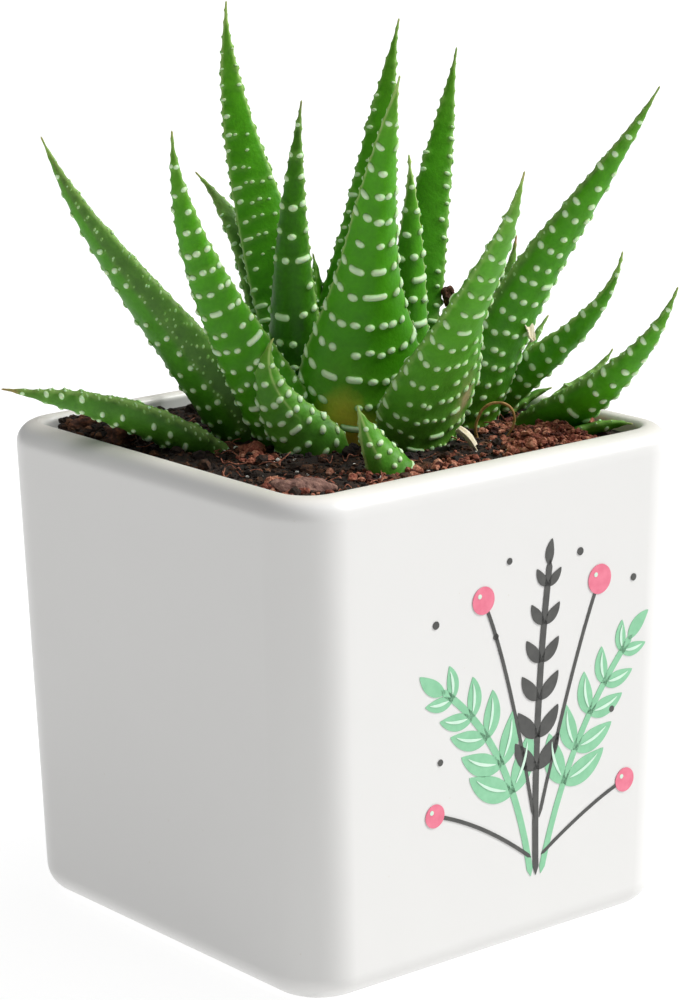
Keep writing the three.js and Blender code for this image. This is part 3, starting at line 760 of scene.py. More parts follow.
def sectionAt(leaf, t):
    # half the width, then the depth of the back and of the inner face; the clasping foot adds width alone
    belly, narrow, widest = leaf.get("belly", leafForm["belly"]), leafForm["rootNarrowing"], leaf["width"] / 2
    left = np.clip((1 - t) / (1 - belly), 0, None)
    belowBelly = narrow + (1 - narrow) * np.sin(np.minimum(t / belly, 1) * np.pi / 2)
    aboveBelly = left ** leafForm["taperPower"] * (1 + leafForm["taperFullness"] * (1 - left))
    taper = np.maximum(leafForm["tipHalf"], widest * np.where(t < belly, belowBelly, aboveBelly))
    foot = leaf.get("foot", 0) * widest * np.exp(-((t - leafForm["footPlace"]) / leafForm["footSpread"]) ** 2)
    deepBack, deepInner = taper * (0.62 + 0.25 * t), taper * (0.12 + 0.35 * t)
    return taper + foot, deepBack, np.maximum(deepInner, np.minimum(0.4, taper))


def onLeaf(leaf, line, distance, angle, lift=0):
    # points of the leaf's skin: distance up from the root in mm, angle 0 to 180 degrees across the back
    # from margin to margin, and on to 360 across the inner face; lift is the height over the skin
    t = np.clip(distance / leaf["length"], 0, 1)
    centre, outward, side = (lineAt(line, t, key) for key in ("centre", "outward", "side"))
    half, deepBack, deepInner = sectionAt(leaf, t)
    cos, sin = np.cos(angle), np.sin(angle)
    deep = np.where(sin > 0, deepBack, deepInner)
    normal = unit(side * (deep * cos)[..., None] + outward * (half * sin)[..., None])
    point = centre + side * (half * cos)[..., None] + outward * (deep * sin)[..., None]
    return point + normal * (np.zeros_like(t) + lift)[..., None], normal


def rowPlaces(leaf, share=1):
    # distances up the leaf where the rows of tubercles cross its middle
    low, middle, high = leaf.get("pitch", leafForm["pitch"])
    places, at = [], leafForm["rowsFrom"]
    while at < leaf["length"] * leafForm["rowsTo"]:
        places.append(at)
        at += share * np.interp(at / leaf["length"], (0, 0.5, 1), (low, middle, high))
    return places


def rowShift(leaf, distance, angle):
    # how far a row drops towards the root at this place across the back
    width = 2 * sectionAt(leaf, np.clip(distance / leaf["length"], 0, 1))[0]
    sag, tilt = leaf.get("sag", leafForm["sag"]), leaf.get("tilt", 0)
    return sag * width * np.maximum(np.sin(angle), 0) + tilt * width * np.cos(angle)


def shadeOf(leaf):
    # the greyer side's start and end across the section; they are equal where a leaf has none
    return [math.radians(angle) for angle in leaf.get("shade", (-90, -90))]


def arcAcross(half, deep, start, end):
    # angles across a section and the lengths of skin up to them
    angles = np.linspace(start, end, 60)
    steps = np.hypot(np.diff(half * np.cos(angles)), np.diff(deep * np.sin(angles)))
    return angles, np.concatenate([[0], np.cumsum(steps)])


wartForm = {  # in millimetres, or in shares of 1
    "foot": -0.12, "softness": 1.4, "loops": (-0.1, -0.05, 0, 0.05, 0.1),
    "missing": 0.09, "edgeInset": 0.85, "wide": (1.2, 1.65), "tall": (1.1, 1.35), "height": 0.38,
    "barShare": 0.07, "barOf3": 0.2, "barWide": 1.15, "barReach": 0.76, "barHalf": 2.3, "barsTo": 0.6,
    "fineRows": 0.36, "fineWide": (0.35, 0.75), "fineStep": (0.9, 2.6), "fineFaint": (0.45, 0.95),
    "innerRows": 0.82, "innerFrom": 7, "innerColumns": (0.13, 0.34, 0.52, 0.7, 0.87),
    "innerEdge": ((0.85, 1.2), 0.2, 0.1),  # how wide, how high, how faint
    "innerMiddle": ((0.5, 0.85), 0.12, 0.35),
    "teethFrom": 4, "teethTo": 0.985, "toothStep": (1.45, 2.35), "toothSize": (0.45, 0.85),
    "toothFaint": (0.15, 0.6),
}


def makeWart(isLong):
    # one low soft wart, about a millimetre across, its foot under the skin; a long one has extra loops
    # in its middle tenths, which a bar draws out
    deselectAll()
    bpy.ops.mesh.primitive_ico_sphere_add(subdivisions=2, radius=0.5, location=(0, 0, 0))
    piece = bpy.context.object
    editMode(piece)
    bpy.ops.mesh.select_all(action="SELECT")
    bpy.ops.mesh.bisect(plane_co=(0, 0, wartForm["foot"]), plane_no=(0, 0, 1), clear_inner=True)
    for loop in wartForm["loops"] if isLong else ():
        bpy.ops.mesh.select_all(action="SELECT")
        bpy.ops.mesh.bisect(plane_co=(loop, 0, 0), plane_no=(1, 0, 0))
    bpy.ops.mesh.select_all(action="SELECT")
    bpy.ops.mesh.remove_doubles(threshold=0.01)
    deselectAll()
    points = np.array([v.co for v in piece.data.vertices])
    softened = 0.5 * (np.maximum(points[:, 2], 0) / 0.5) ** wartForm["softness"]
    points[:, 2] = np.where(points[:, 2] > 0, softened, points[:, 2])
    faces = [tuple(f.vertices) for f in piece.data.polygons]
    bpy.data.objects.remove(piece)
    return points, faces


dotShape, barShape = makeWart(False), makeWart(True)


def placeWarts(leaf, seed):
    # every wart as its distances, angles and heights over the skin, with its faintness, and every pad
    # as distance, angle, radius and rise: the skin swells under the warts and along the toothed margins
    chance = random.Random(seed)
    size, gap, length = leaf.get("dot", 1), leaf.get("gap", leafForm["gap"]), leaf["length"]
    shadeFrom, shadeTo = shadeOf(leaf)
    warts, teeth, pads = [], [], []

    def put(place, at, arc, angles, wide, tall, bar, height, faint):
        # one wart on the row at place, at a length of skin across it; bar is the straight part of a long one
        shape = barShape if bar else dotShape
        local = shape[0]
        across = at + local[:, 0] * wide + np.clip(local[:, 0] / wartForm["loops"][-1], -1, 1) * bar / 2
        ways = np.interp(across, arc, angles)
        drop = rowShift(leaf, np.full(len(ways), place), ways)
        warts.append((place - drop + local[:, 1] * tall, ways, local[:, 2] * 2, height, faint, shape[1]))
        for share in ((-0.5, 0, 0.5) if bar else (0,)):
            way = float(np.interp(at + share * bar, arc, angles))
            pads.append((place - float(rowShift(leaf, np.array(place), np.array(way))), way,
                         leafForm["padMm"] * (0.55 + 0.45 * min(1, wide)),
                         leafForm["padRise"] * min(1, wide) * (0.6 if bar else 1)))

    # rows across the back
    for place in rowPlaces(leaf):
        half, deep, _ = (float(v) for v in sectionAt(leaf, np.array(place / length)))
        angles, arc = arcAcross(half, deep, 0, math.pi)
        inset = min(wartForm["edgeInset"], arc[-1] * 0.2)
        room = arc[-1] - 2 * inset
        slots = int(room / gap + 0.35) + 1
        step = room / (slots - 1) if slots > 1 else gap
        young = min(1, place / (3 + 0.14 * length))  # warts are faint near the root
        slim = min(1, half / 1.8)  # and small near the tip
        small = (0.62 + 0.38 * slim) * (0.72 + 0.28 * young)
        canJoin = half > wartForm["barHalf"] and place < wartForm["barsTo"] * length
        at = inset + (chance.uniform(-0.25, 0.25) * gap if slots > 1
                      else room / 2 + chance.uniform(-0.3, 0.3) * room)
        slot = 0
        while slot < slots:
            joined = 1
            if canJoin and chance.random() < leaf.get("barShare", wartForm["barShare"]) and slot + 1 < slots:
                joined = 3 if chance.random() < wartForm["barOf3"] and slot + 2 < slots else 2
            middle = min(max(at + (joined - 1) * step / 2 + chance.gauss(0, 0.16), 0.5), arc[-1] - 0.5)
            way = float(np.interp(middle, arc, angles))
            if chance.random() > wartForm["missing"] and not shadeFrom < way < shadeTo:
                wide = chance.uniform(*wartForm["wide"]) if joined == 1 else wartForm["barWide"]
                wide, tall = size * small * wide, size * small * chance.uniform(*wartForm["tall"])
                put(place + chance.gauss(0, 0.2), middle, arc, angles, wide, tall,
                    (joined - 1) * step * wartForm["barReach"], wartForm["height"] * size * small * slim,
                    leaf.get("faint", 0) + 0.6 * (1 - young))
            at += joined * step
            slot += joined
    # a greyer side has many fine bumps instead of rows
    for place in rowPlaces(leaf, wartForm["fineRows"]) if shadeTo > shadeFrom else ():
        half, deepBack, deepInner = (float(v) for v in sectionAt(leaf, np.array(place / length)))
        for start, end, deep in ((max(0, shadeFrom), min(math.pi, shadeTo), deepBack),
                                 (max(math.pi, shadeFrom), min(2 * math.pi, shadeTo), deepInner),
                                 (2 * math.pi + min(0, shadeFrom), 2 * math.pi, deepInner)):
            if end <= start + 0.02:
                continue
            angles, arc = arcAcross(half, deep, start, end)
            at = chance.uniform(0.2, 1)
            while at < arc[-1] - 0.2 and half > 0.9:
                fine = chance.uniform(*wartForm["fineWide"]) * size
                put(place + chance.uniform(-0.6, 0.6), at, arc, angles, fine, fine * 0.85, 0, 0.1,
                    chance.uniform(*wartForm["fineFaint"]))
                at += chance.uniform(*wartForm["fineStep"])
    # rows of the inner face: sparse, small in the middle, larger near the margins
    firstEdge, between, lastEdge = leaf.get("inner", (0.5, 0.3, 0.5))
    for place in rowPlaces(leaf, wartForm["innerRows"]):
        half, _, deep = (float(v) for v in sectionAt(leaf, np.array(place / length)))
        if place < wartForm["innerFrom"] or half < 0.8:
            continue
        angles, arc = arcAcross(half, deep, math.pi, 2 * math.pi)
        for column, often in zip(wartForm["innerColumns"], (firstEdge, between, between, between, lastEdge)):
            isEdge = not 0.2 < column < 0.8
            sizes, height, faint = wartForm["innerEdge" if isEdge else "innerMiddle"]
            if chance.random() < often and (half > 1.8 or isEdge):
                wide = chance.uniform(*sizes) * min(1, half / 2)
                bar = 0.8 if isEdge and half > wartForm["barHalf"] and chance.random() < 0.2 else 0
                up, across = place + chance.uniform(-0.4, 0.4), column + chance.uniform(-0.05, 0.05)
                put(up, across * arc[-1], arc, angles, wide, wide * 0.72, bar, height, faint)
    # teeth along both margins
    for margin in (0.0, math.pi):
        distance = wartForm["teethFrom"] + chance.uniform(0, 1)
        while distance < length * wartForm["teethTo"]:
            half = float(sectionAt(leaf, np.array(distance / length))[0])
            slim = min(1, half / 1.5)
            tooth = size * chance.uniform(*wartForm["toothSize"]) * (0.5 + 0.5 * slim)
            teeth.append((distance, margin, tooth, chance.uniform(*wartForm["toothFaint"])))
            pads.append((distance, margin, leafForm["toothMm"] * (0.6 + 0.4 * slim),
                         leafForm["toothRise"] * chance.uniform(0.75, 1.15) * (0.35 + 0.65 * slim)))
            distance += chance.uniform(*wartForm["toothStep"])
    return warts, teeth, pads


def swellAt(points, pads):
    # how far the skin swells at these points: a soft hump for each pad (x, y, z, radius, rise)
    apart = (points ** 2).sum(1)[:, None] + (pads[:, :3] ** 2).sum(1) - 2 * points @ pads[:, :3].T
    return np.minimum((pads[:, 4] * np.exp(-apart / pads[:, 3] ** 2)).sum(1), leafForm["mostRise"])


def skinLook(leaf, distance, angle):
    # what the skin's material reads at each point, then at the foot and at the tip that close the skin
    t = distance / leaf["length"]
    half, deepBack, deepInner = sectionAt(leaf, t)
    deep = np.where(np.sin(angle) > 0, deepBack, deepInner)
    toMargin = np.hypot(half * (1 - np.abs(np.cos(angle))), deep * np.sin(angle))
    edge = leaf.get("line", 0.2) * np.clip((0.5 - toMargin) / 0.25, 0, 1)
    if "keel" in leaf:  # a pale line down the back from the tip
        offKeel = np.abs(angle - math.radians(leaf["keel"])) * half
        edge = np.maximum(edge, 0.6 * np.clip((0.26 - offKeel) / 0.18, 0, 1) * np.clip((t - 0.4) / 0.2, 0, 1))
    shadeFrom, shadeTo = shadeOf(leaf)
    way = np.where(angle > 1.5 * math.pi, angle - 2 * math.pi, angle) if shadeFrom < 0 else angle
    shaded = np.clip((way - shadeFrom) / 0.3 + 0.5, 0, 1) * np.clip((shadeTo - way) / 0.3 + 0.5, 0, 1)
    dull, rust = np.maximum(leaf.get("dull", 0), 0.8 * shaded), leaf.get("rust", 0)
    dull = dull + (rust - dull) * np.clip((t - 0.92) / 0.04, 0, 1)  # the dry tip is rusty or olive
    dryAt, dryAngle, dryMm = leaf.get("dry", (0, 0, 0))
    dry = np.zeros_like(t)
    if dryMm:  # a scab twice as long as it is wide
        offMiddle = np.hypot((distance - dryAt) / 2, (angle - math.radians(dryAngle)) * half)
        dry = np.exp(-(offMiddle / dryMm) ** 2)
    # most leaves are green down to the mix; an unripe one starts lower in the skin's run of colours
    ripe, ripeAngle = leaf.get("yellow", (-0.1, 0))
    yellow = np.exp(-((angle - math.radians(ripeAngle)) / 0.75) ** 2)
    start = 0.1 - (0.1 + ripe) * yellow
    # painted shade: darker beside the margins and low down among the leaves, where shade falls, and darker
    # on a greyer side; the leaf's tone value adds painted light on some leaves and painted shade on others,
    # and an unripe yellow foot is lightened instead of shaded
    tone = leaf.get("tone", 0) - 0.1 * np.clip((0.9 - toMargin) / 0.9, 0, 1) - 0.1 * shaded
    tone = tone - (0.24 - 0.36 * yellow * (ripe > 0)) * np.clip((0.42 - t) / 0.3, 0, 1)
    return {"along": (start + (1 - start) * t, start[0, 0], 1), "edge": (edge, 0, 0.3),
            "dull": (dull, 0, rust), "tone": (tone, 0, 0), "dry": (dry, 0, 0)}


def makeSkin(name, leaf, line, pads):
    # rings of points up the leaf, closed by one point at the foot and one at the tip
    rings = int(leaf["length"] / leafForm["ringMm"])
    back = np.linspace(0, math.pi, leafForm["backSides"], endpoint=False)
    inner = np.linspace(math.pi, 2 * math.pi, leafForm["innerSides"], endpoint=False)
    angles = np.concatenate([back, inner])
    count = len(angles)
    distance, angle = np.meshgrid(np.linspace(0, leaf["length"], rings), angles, indexing="ij")
    smooth, _ = onLeaf(leaf, line, distance, angle)
    swell = swellAt(smooth.reshape(-1, 3), pads).reshape(distance.shape)
    points, _ = onLeaf(leaf, line, distance, angle, swell)
    ends = np.array([line["centre"][0], line["centre"][-1] + line["along"][-1] * 0.35])
    points = np.concatenate([points.reshape(-1, 3), ends])
    faces = []
    for ring in range(rings - 1):
        for side in range(count):
            a, b = ring * count + side, ring * count + (side + 1) % count
            faces.append((a, b, b + count, a + count))
    for side in range(count):
        after = (side + 1) % count
        faces.append((after, side, len(points) - 2))
        faces.append(((rings - 1) * count + side, (rings - 1) * count + after, len(points) - 1))
    values = skinLook(leaf, distance, angle)
    # band is how far the skin swells; the skin material paints it paler, as painted light on the raised bands
    values["band"] = (swell / leafForm["padRise"], 0, 0)
    values = {key: np.append(body.ravel(), [foot, tip]) for key, (body, foot, tip) in values.items()}
    return meshPiece(name.replace("leaf", "skin"), points, faces, values)


def makeTubercles(name, leaf, line, warts, teeth, pads):
    # all warts of a leaf, each wrapped over the swollen skin, and its teeth, each leaning out and up
    distances, angles, rise = (np.concatenate([wart[i] for wart in warts]) for i in range(3))
    heights, faint = (np.concatenate([np.full(len(wart[0]), wart[i]) for wart in warts]) for i in (3, 4))
    smooth, _ = onLeaf(leaf, line, distances, angles)
    points, _ = onLeaf(leaf, line, distances, angles, rise * heights + swellAt(smooth, pads))
    faces, used = [], 0
    for wart in warts:
        faces += [tuple(i + used for i in face) for face in wart[5]]
        used += len(wart[0])
    points, faint, rise = [points], [faint], [rise]
    local, capFaces = dotShape
    for distance, margin, tooth, toothFaint in teeth:
        foot, _ = onLeaf(leaf, line, np.array([distance]), np.array([margin]))
        side, outward, along = (lineAt(line, distance / leaf["length"], key)
                                for key in ("side", "outward", "along"))
        out = side * math.cos(margin)
        base = foot + out * (swellAt(foot, pads)[0] - 0.06)
        x, y, z = (local[:, i:i + 1] * share * tooth for i, share in enumerate((0.8, 0.95, 0.62)))
        points.append(base + outward * x + along * (y + 0.25 * z) + out * z)
        faint.append(np.full(len(local), toothFaint))
        rise.append(local[:, 2] * 2)
        faces += [tuple(i + used for i in face) for face in capFaces]
        used += len(local)
    values = {"rise": np.concatenate(rise), "faint": np.concatenate(faint)}
    return meshPiece(name.replace("leaf", "tubercles"), np.concatenate(points), faces, values)


for number, (name, leaf) in enumerate(leaves.items()):
    line = leafLine(leaf)
    warts, teeth, pads = placeWarts(leaf, 40 + number)
    pads = np.array(pads)
    padPoints, _ = onLeaf(leaf, line, pads[:, 0], pads[:, 1])
    pads = np.concatenate([padPoints, pads[:, 2:]], 1)
    finishPiece(makeSkin(name, leaf, line, pads), "leaf_skin", leafSkin, name)
    finishPiece(makeTubercles(name, leaf, line, warts, teeth, pads), "tubercle", tubercleWax)
print("leaves ready")


# potting mix: a plug with a rough top, then loose crumbs, coir, perlite and hairs on it

mix = {
    "top": 73.9, "mound": 1, "gap": 0.3, "corner": 4.9, "cuts": 120, "under": 5.3, "stillRim": 1.2,
    "coarse": (5, 1.3), "fine": (1.3, 0.9),  # size of the bumps and how high they are
}


def makeMix():
    # a grid cut to the pot's inside, mounded and roughened, then drawn down into a plug
    deselectAll()
    half = potHalfAt(mix["top"]) - pot["wall"] - mix["gap"]
    cuts, start = mix["cuts"], mix["top"] - 0.4
    bpy.ops.mesh.primitive_grid_add(x_subdivisions=cuts, y_subdivisions=cuts, size=2 * half * mm,
                                    location=(0, 0, start * mm))
    piece = bpy.context.object
    piece.name = "potting_mix"
    bpy.ops.object.transform_apply(location=True, rotation=True, scale=True)
    straight = half - mix["corner"]
    for v in piece.data.vertices:  # round the corners of the grid and mound its middle
        x, y = v.co.x / mm, v.co.y / mm
        overX, overY = abs(x) - straight, abs(y) - straight
        if overX > 0 and overY > 0:
            keep = max(overX, overY) / math.hypot(overX, overY)
            v.co.x = math.copysign(straight + overX * keep, x) * mm
            v.co.y = math.copysign(straight + overY * keep, y) * mm
        share = 1 - min(1, max(abs(x), abs(y)) / half)
        v.co.z += mix["mound"] * math.sin(share * math.pi / 2) * mm
    inside = piece.vertex_groups.new(name="inside")  # the rim of the plug stays where it is
    for v in piece.data.vertices:
        edge = half - max(abs(v.co.x), abs(v.co.y)) / mm
        inside.add([v.index], min(1, edge / mix["stillRim"]), "REPLACE")
    for key in ("coarse", "fine"):
        addRoughness(piece, key, *mix[key], 2, direction="Z", vertex_group="inside")
    editMode(piece)
    pick("edges", lambda e: e.is_boundary)
    extrudeBy(mix["under"] - mix["top"])
    shrink = (potHalfAt(mix["under"]) - pot["wall"] - mix["gap"]) / half
    bpy.ops.transform.resize(value=(shrink, shrink, 0), center_override=(0, 0, mix["under"] * mm))
    bpy.ops.mesh.edge_face_add()
    outwards()
    return piece


mixPiece = makeMix()
finishPiece(mixPiece, "potting_mix", peat, "soil")


def groundAt(x, y):
    # the height of the mix at a place, seen from above it; none beside the plug or down a hole
    hit, place, _, _ = mixPiece.ray_cast(Vector((x * mm, y * mm, 90 * mm)), Vector((0, 0, -1)))
    return place.z / mm if hit and place.z > 60 * mm else None


def makeCrumbShapes(seed, kinds, isFine, rough):
    # a few broken shapes of 20 faces, or of 24 for the coarser crumbs, with every corner jittered
    shapes = []
    chance = random.Random(seed)
    for _ in range(kinds):
        deselectAll()
        if isFine:
            bpy.ops.mesh.primitive_ico_sphere_add(subdivisions=1, radius=0.5, location=(0, 0, 0))
        else:
            bpy.ops.mesh.primitive_cube_add(size=0.64, location=(0, 0, 0))
            editMode(bpy.context.object)
            bpy.ops.mesh.select_all(action="SELECT")
            bpy.ops.mesh.subdivide(number_cuts=1, smoothness=1)
            deselectAll()
        piece = bpy.context.object
        points = np.array([v.co for v in piece.data.vertices])
        for i in range(len(points)):
            points[i] *= 1 + rough * chance.uniform(-1, 1)
        points *= (1, chance.uniform(0.6, 0.95), chance.uniform(0.45, 0.85))
        shapes.append((points, [tuple(f.vertices) for f in piece.data.polygons]))
        bpy.data.objects.remove(piece)
    return shapes


def tumbled(points, chance):
    # a grain's points, turned anyhow and tipped a little
    turn, tip = chance.uniform(0, 6.28), chance.uniform(-0.6, 0.6)
    return points @ np.array(Matrix.Rotation(turn, 3, "Z") @ Matrix.Rotation(tip, 3, "X")).T


lumps = {  # middle, then length, width and height, turn on the mix, slope down along the length
    "bark_front": {"at": (-26.5, -24.5, 74.4), "size": (7.4, 4.4, 2.4), "turn": -38, "slope": 4},
    "bark_left": {"at": (-28.2, 27, 74.6), "size": (4.8, 4.2, 3.6), "turn": 20, "slope": 0},
    "bark_side": {"at": (-28.4, 18, 74.6), "size": (7, 4.6, 4), "turn": 82, "slope": 6},
    "coir_middle": {"at": (-19, -3.5, 74.6), "size": (3.8, 3.2, 3), "turn": 10, "slope": 12},
    "coir_right": {"at": (16.5, -27.5, 74.3), "size": (6, 4, 3), "turn": -20, "slope": 3},
    "coir_corner": {"at": (29, -22.5, 74.4), "size": (5, 3.8, 3.4), "turn": 60, "slope": 0},
    "dry_sheath": {"at": (7.6, -21.6, 75.2), "size": (5, 2.4, 1)},  # only keeps its place free of grains
}


leafFeet = []  # where each leaf stands in the mix, and how wide it is there
for leaf in leaves.values():
    line = leafLine(leaf)
    low = int(np.argmin(np.abs(line["centre"][:, 2] - 74.5)))
    leafFeet.append((line["centre"][low], float(sectionAt(leaf, line["t"][low])[0])))


def isFree(x, y, room, onLumps=False):
    # no leaf stands there, and no lump lies there unless the grains may bury it
    offLumps = onLumps or all(math.hypot(x - lump["at"][0], y - lump["at"][1]) > lump["size"][1] * 0.5
                              for lump in lumps.values())
    return offLumps and all(math.hypot(x - foot[0], y - foot[1]) > half * 0.75 + room
                            for foot, half in leafFeet)


def scatter(name, count, sizes, shapes, seed, slotName, material, sink=0.3, near=None, heap=0):
    # count grains, sized between the two sizes and mostly near the smaller. near is a list of patches
    # (x, y, radius); without it they lie all over the mix. heap piles them that high in the middle of
    # each patch, over the lumps there
    chance = random.Random(seed)
    half = potHalfAt(mix["top"]) - pot["wall"] - 1
    points, faces, tones = [], [], []
    made = tries = 0
    while made < count and tries < count * 20:
        tries += 1
        if near:
            cx, cy, radius = chance.choice(near)
            x, y = cx + chance.gauss(0, radius / 2), cy + chance.gauss(0, radius / 2)
        else:
            x, y = chance.uniform(-half, half), chance.uniform(-half, half)
        size = sizes[0] + (sizes[1] - sizes[0]) * chance.random() ** 2.2
        limit = half - size / 2
        cornerX, cornerY = max(abs(x) - limit + 4, 0), max(abs(y) - limit + 4, 0)
        if math.hypot(cornerX, cornerY) > 4 or not isFree(x, y, size * 0.3, heap > 0):
            continue
        ground = groundAt(x, y)
        if ground is None:
            continue
        shape, shapeFaces = chance.choice(shapes)
        pile = heap * max(0, 1 - (math.hypot(x - cx, y - cy) / radius) ** 2) * chance.random() if heap else 0
        grain = tumbled(shape * size, chance) + (x, y, ground + size * (0.5 - sink) * 0.6 + pile)
        faces += [tuple(i + len(points) for i in face) for face in shapeFaces]
        points += grain.tolist()
        tones += [chance.uniform(-0.22, 0.25)] * len(grain)
        made += 1
    piece = meshPiece(name, points, faces, {"tone": tones})
    finishPiece(piece, slotName, material, smooth=False)


crumbShapes = makeCrumbShapes(3, 8, False, 0.24)
fineShapes = makeCrumbShapes(4, 5, True, 0.25)
perliteShapes = makeCrumbShapes(5, 4, True, 0.13)
coirPatches = [(20, -25, 6), (26, -20, 6), (14, -27, 5), (27, -15, 4), (20, -18, 4), (-20, -5, 2.5),
               (28, 24, 8), (12, 28, 6), (-27, -22, 6), (-14, -28, 6), (0, -28, 6)]
perlitePatches = [(-17, -8, 4), (-10, -24, 6), (-24, -18, 5), (-20, 2, 4), (8, -24, 6), (24, 16, 10),
                  (-20, 24, 8), (4, 26, 8)]
coirHeaps = [(16.5, -27, 5), (22, -25, 5), (27, -22, 5), (29, -18, 4)]
peatHeaps = [(-28, 29, 5), (-22, 30.5, 4), (-29, 22, 4)]
scatter("fine_crumbs", 4200, (0.35, 1.05), fineShapes, 11, "potting_mix", peatCrumb)
scatter("coarse_crumbs", 330, (1, 2.4), crumbShapes, 12, "potting_mix", peatCrumb)
scatter("coir_bits", 1150, (0.4, 1.6), crumbShapes, 13, "coir", coirFibre, sink=0.1, near=coirPatches)
scatter("coir_heaps", 1700, (0.45, 1.5), crumbShapes, 15, "coir", coirFibre, sink=0.1,
        near=coirHeaps, heap=2.6)
scatter("peat_heaps", 900, (0.5, 1.7), crumbShapes, 16, "potting_mix", peatCrumb,
        near=peatHeaps, heap=2)
scatter("perlite_grains", 150, (0.22, 0.75), perliteShapes, 14, "perlite", perlite, sink=0.1,
        near=perlitePatches)


hair = {"count": 90, "radius": 0.09, "length": (3, 9), "bends": 5, "reach": 29, "edge": 32, "tone": 0.12,
        "seed": 21}


def makeHairs():
    # coir hairs: thin bent curves that lie on the mix or stand a little out of it
    chance = random.Random(hair["seed"])
    data = newCurve("coir_hairs", hair["radius"], 0, 4)
    while len(data.splines) < hair["count"]:
        x, y = chance.uniform(-hair["reach"], hair["reach"]), chance.uniform(-hair["reach"], hair["reach"])
        length, way = chance.uniform(*hair["length"]), chance.uniform(0, 6.28)
        bend = chance.uniform(-0.5, 0.5)
        spots = []
        for _ in range(hair["bends"]):
            ground = groundAt(x, y)
            if ground is None or max(abs(x), abs(y)) > hair["edge"]:
                break
            spots.append((x, y, ground + chance.uniform(0.1, 1.3)))
            x += math.cos(way) * length / hair["bends"]
            y += math.sin(way) * length / hair["bends"]
            way += bend
        if len(spots) > 3:
            addSpline(data, spots, [chance.uniform(0.6, 1.2) for _ in spots])
    piece = curvePiece(data)
    tone = piece.data.attributes.new("tone", "FLOAT", "POINT")
    tone.data.foreach_set("value", np.full(len(piece.data.vertices), hair["tone"], np.float32))
    finishPiece(piece, "coir", coirFibre)


makeHairs()
print("potting mix ready")


# lumps of bark and coir, papery scales, a clot of peat and the dry root

lumpSurface = {"split": (1.6, 0.9), "crumble": (0.5, 0.35)}  # size of the bumps, how high they are


def makeLump(name, lump):
    # a broken lump: broad facets from the CAD's own swelling, then a split and a crumbling surface
    deselectAll()
    bpy.ops.mesh.primitive_ico_sphere_add(subdivisions=5, radius=0.5, location=(0, 0, 0))
    piece = bpy.context.object
    piece.name = name + "_piece"
    x0, y0 = lump["at"][0], lump["at"][1]
    for v in piece.data.vertices:
        p = v.co
        v.co = p * (1 + 0.16 * math.sin(7 * p.x + 5 * p.y + x0) + 0.12 * math.sin(9 * p.z - 6 * p.y + y0))
    placeIn(piece, lump["at"], lump["turn"], lump["slope"], Vector(lump["size"]) * mm)
    for key, sizes in lumpSurface.items():
        addRoughness(piece, name + key, *sizes, 3, level=0.55)
    return piece


for name, lump in lumps.items():
    if name == "dry_sheath":
        continue
    kind = name.split("_")[0]
    skin = barkChip if name == "bark_front" else bark if kind == "bark" else coirFibre
    finishPiece(makeLump(name, lump), kind, skin, name)


scales = {  # papery scales: middle, length, width, curl, turn and slope
    "dry_sheath_piece": {"at": (7.3, -22, 74.8), "long": 6, "wide": 3, "curl": 0.8, "turn": -48, "slope": 48,
                         "seed": 31},  # stands in the mix
    "dry_flake": {"at": (22.6, -18, 89.3), "long": 3.4, "wide": 2.2, "curl": 0.5, "turn": -75, "slope": 53,
                  "seed": 32},  # stuck to the edge of a leaf
}


def makeScale(name, scale):
    # a papery scale, curled lengthwise, with a ragged edge, standing askew
    chance = random.Random(scale["seed"])
    rows, cols = 26, 14
    ragged = [chance.uniform(0.82, 1) for _ in range(rows)]
    points = []
    for i in range(rows):
        u = i / (rows - 1)
        for j in range(cols):
            v = j / (cols - 1) * 2 - 1
            half = scale["wide"] / 2 * math.sin(math.pi * (0.16 + 0.8 * u)) ** 0.6 * ragged[i]
            rise = scale["curl"] * (v * v - 0.4) + 0.35 * math.sin(u * 5) + 0.08 * math.sin(9 * v + 5 * u)
            points.append((scale["long"] * (u - 0.5), half * v, rise))
    faces = [(i * cols + j, i * cols + j + 1, (i + 1) * cols + j + 1, (i + 1) * cols + j)
             for i in range(rows - 1) for j in range(cols - 1)]
    piece = meshPiece(name, points, faces)
    placeIn(piece, scale["at"], scale["turn"], scale["slope"])
    addModifier(piece, "SOLIDIFY", thickness=0.16 * mm, offset=0)
    return piece


finishPiece(makeScale("dry_sheath_piece", scales["dry_sheath_piece"]), "dry_husk", husk, "dry_sheath")
finishPiece(makeScale("dry_flake", scales["dry_flake"]), "dry_husk", husk)
clot = {"at": (22.75, 0.7, 92), "size": (2.3, 2, 3.6), "turn": 15, "slope": 8}  # stuck to the edge of a leaf
finishPiece(makeLump("coir_clot", clot), "coir", peatClot)


root = {  # its curl as points across and up from its middle, each with the root's radius there
    "middle": (14.8, -19.2, 76.8), "turn": -38.7,
    "curl": [(-1.9, -4.4, 0.27), (-3, -2.1, 0.26), (-2.6, 0.6, 0.22), (-1.4, 2.2, 0.25), (0.3, 2.7, 0.2),
             (2, 2.1, 0.22), (2.8, 0.4, 0.18), (2.4, -1.4, 0.16), (1.3, -2.9, 0.11)],
}


def makeRoot():
    # a dry root that curls up out of the mix, thinner towards its free end, with a few knots
    middle, turn = Vector(root["middle"]), math.radians(root["turn"])
    data = newCurve("root_curl", 1, 4, 12)
    data.use_fill_caps = True
    spots = [middle + Vector((across * math.cos(turn), across * math.sin(turn), up))
             for across, up, _ in root["curl"]]
    addSpline(data, spots, [radius for _, _, radius in root["curl"]])
    finishPiece(curvePiece(data), "dry_root", rootBark, "dry_root")


makeRoot()
print("lumps, sheath and root ready")


# camera, floor and lights

shot = {"azimuth": -38.7, "elevation": 14.1, "roll": -0.95, "distance": 512, "aim": (0, 0, 60),
        "across": -0.24, "up": 3.27, "lens": 120.06}


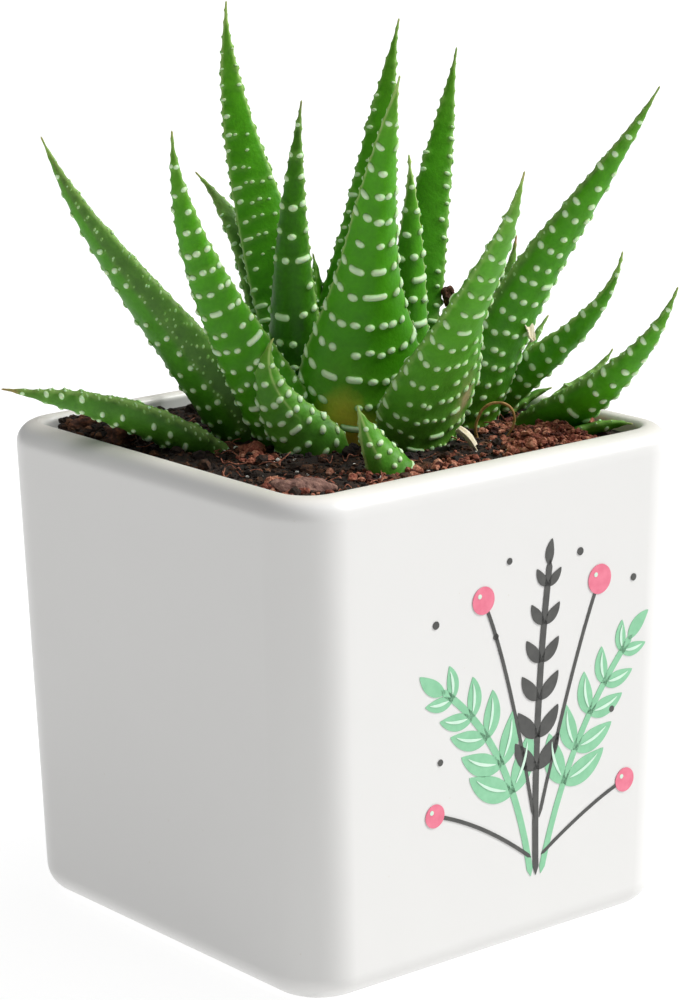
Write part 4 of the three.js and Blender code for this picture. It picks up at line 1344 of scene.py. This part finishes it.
def placeCamera():
    # the camera circles the aim, rolls a little and is shifted across and up
    az, el, roll = (math.radians(shot[key]) for key in ("azimuth", "elevation", "roll"))
    back = Vector((math.sin(az) * math.cos(el), -math.cos(az) * math.cos(el), math.sin(el)))
    right = Vector((math.cos(az), math.sin(az), 0))
    up = back.cross(right)
    rolledRight = math.cos(roll) * right + math.sin(roll) * up
    rolledUp = -math.sin(roll) * right + math.cos(roll) * up
    place = (Vector(shot["aim"]) + back * shot["distance"] + rolledRight * shot["across"]
             + rolledUp * shot["up"])
    data = bpy.data.cameras.new("camera")
    data.sensor_width = 36
    data.lens = shot["lens"]
    camera = bpy.data.objects.new("camera", data)
    scene.collection.objects.link(camera)
    turn = Matrix((rolledRight, rolledUp, back)).transposed().to_4x4()
    camera.matrix_world = Matrix.Translation(place * mm) @ turn
    scene.camera = camera


studio = {
    "floor": "#929291", "floorGlow": 0.84, "sky": "#fbfdff", "skyStrength": 0.2,
    "key": ((0.665, -0.4, 0.63), 3.3, 22),  # from where, how strong, how wide
    "top": ((0.25, -0.1, 0.96), 1.25, 60),
}


def addSun(name, fromWay, strength, angle):
    # a far softbox: angle is how wide it looks from the object, in degrees
    data = bpy.data.lights.new(name, "SUN")
    data.energy = strength
    data.angle = math.radians(angle)
    light = bpy.data.objects.new(name, data)
    scene.collection.objects.link(light)
    light.rotation_euler = Vector(fromWay).to_track_quat("Z", "Y").to_euler()


def makeStudio():
    # white paper that glows a little, a faint sky and two soft suns
    deselectAll()
    bpy.ops.mesh.primitive_plane_add(size=12, location=(0, 0, 0))
    floor = bpy.context.object
    floor.name = "studio_floor"
    material, tree, shader = newMaterial("backlit studio paper", Roughness=0.9,
                                         Emission_Strength=studio["floorGlow"])
    shader.inputs["Base Color"].default_value = linear(studio["floor"])
    shader.inputs["Emission Color"].default_value = linear("#ffffff")
    floor.data.materials.append(material)
    world = bpy.data.worlds.new("studio")
    world.use_nodes = True
    sky = world.node_tree.nodes["Background"]
    sky.inputs["Color"].default_value = linear(studio["sky"])
    sky.inputs["Strength"].default_value = studio["skyStrength"]
    scene.world = world
    scene.view_settings.view_transform = "Standard"
    addSun("key", *studio["key"])
    addSun("top", *studio["top"])


placeCamera()
makeStudio()
print("camera and lights ready")
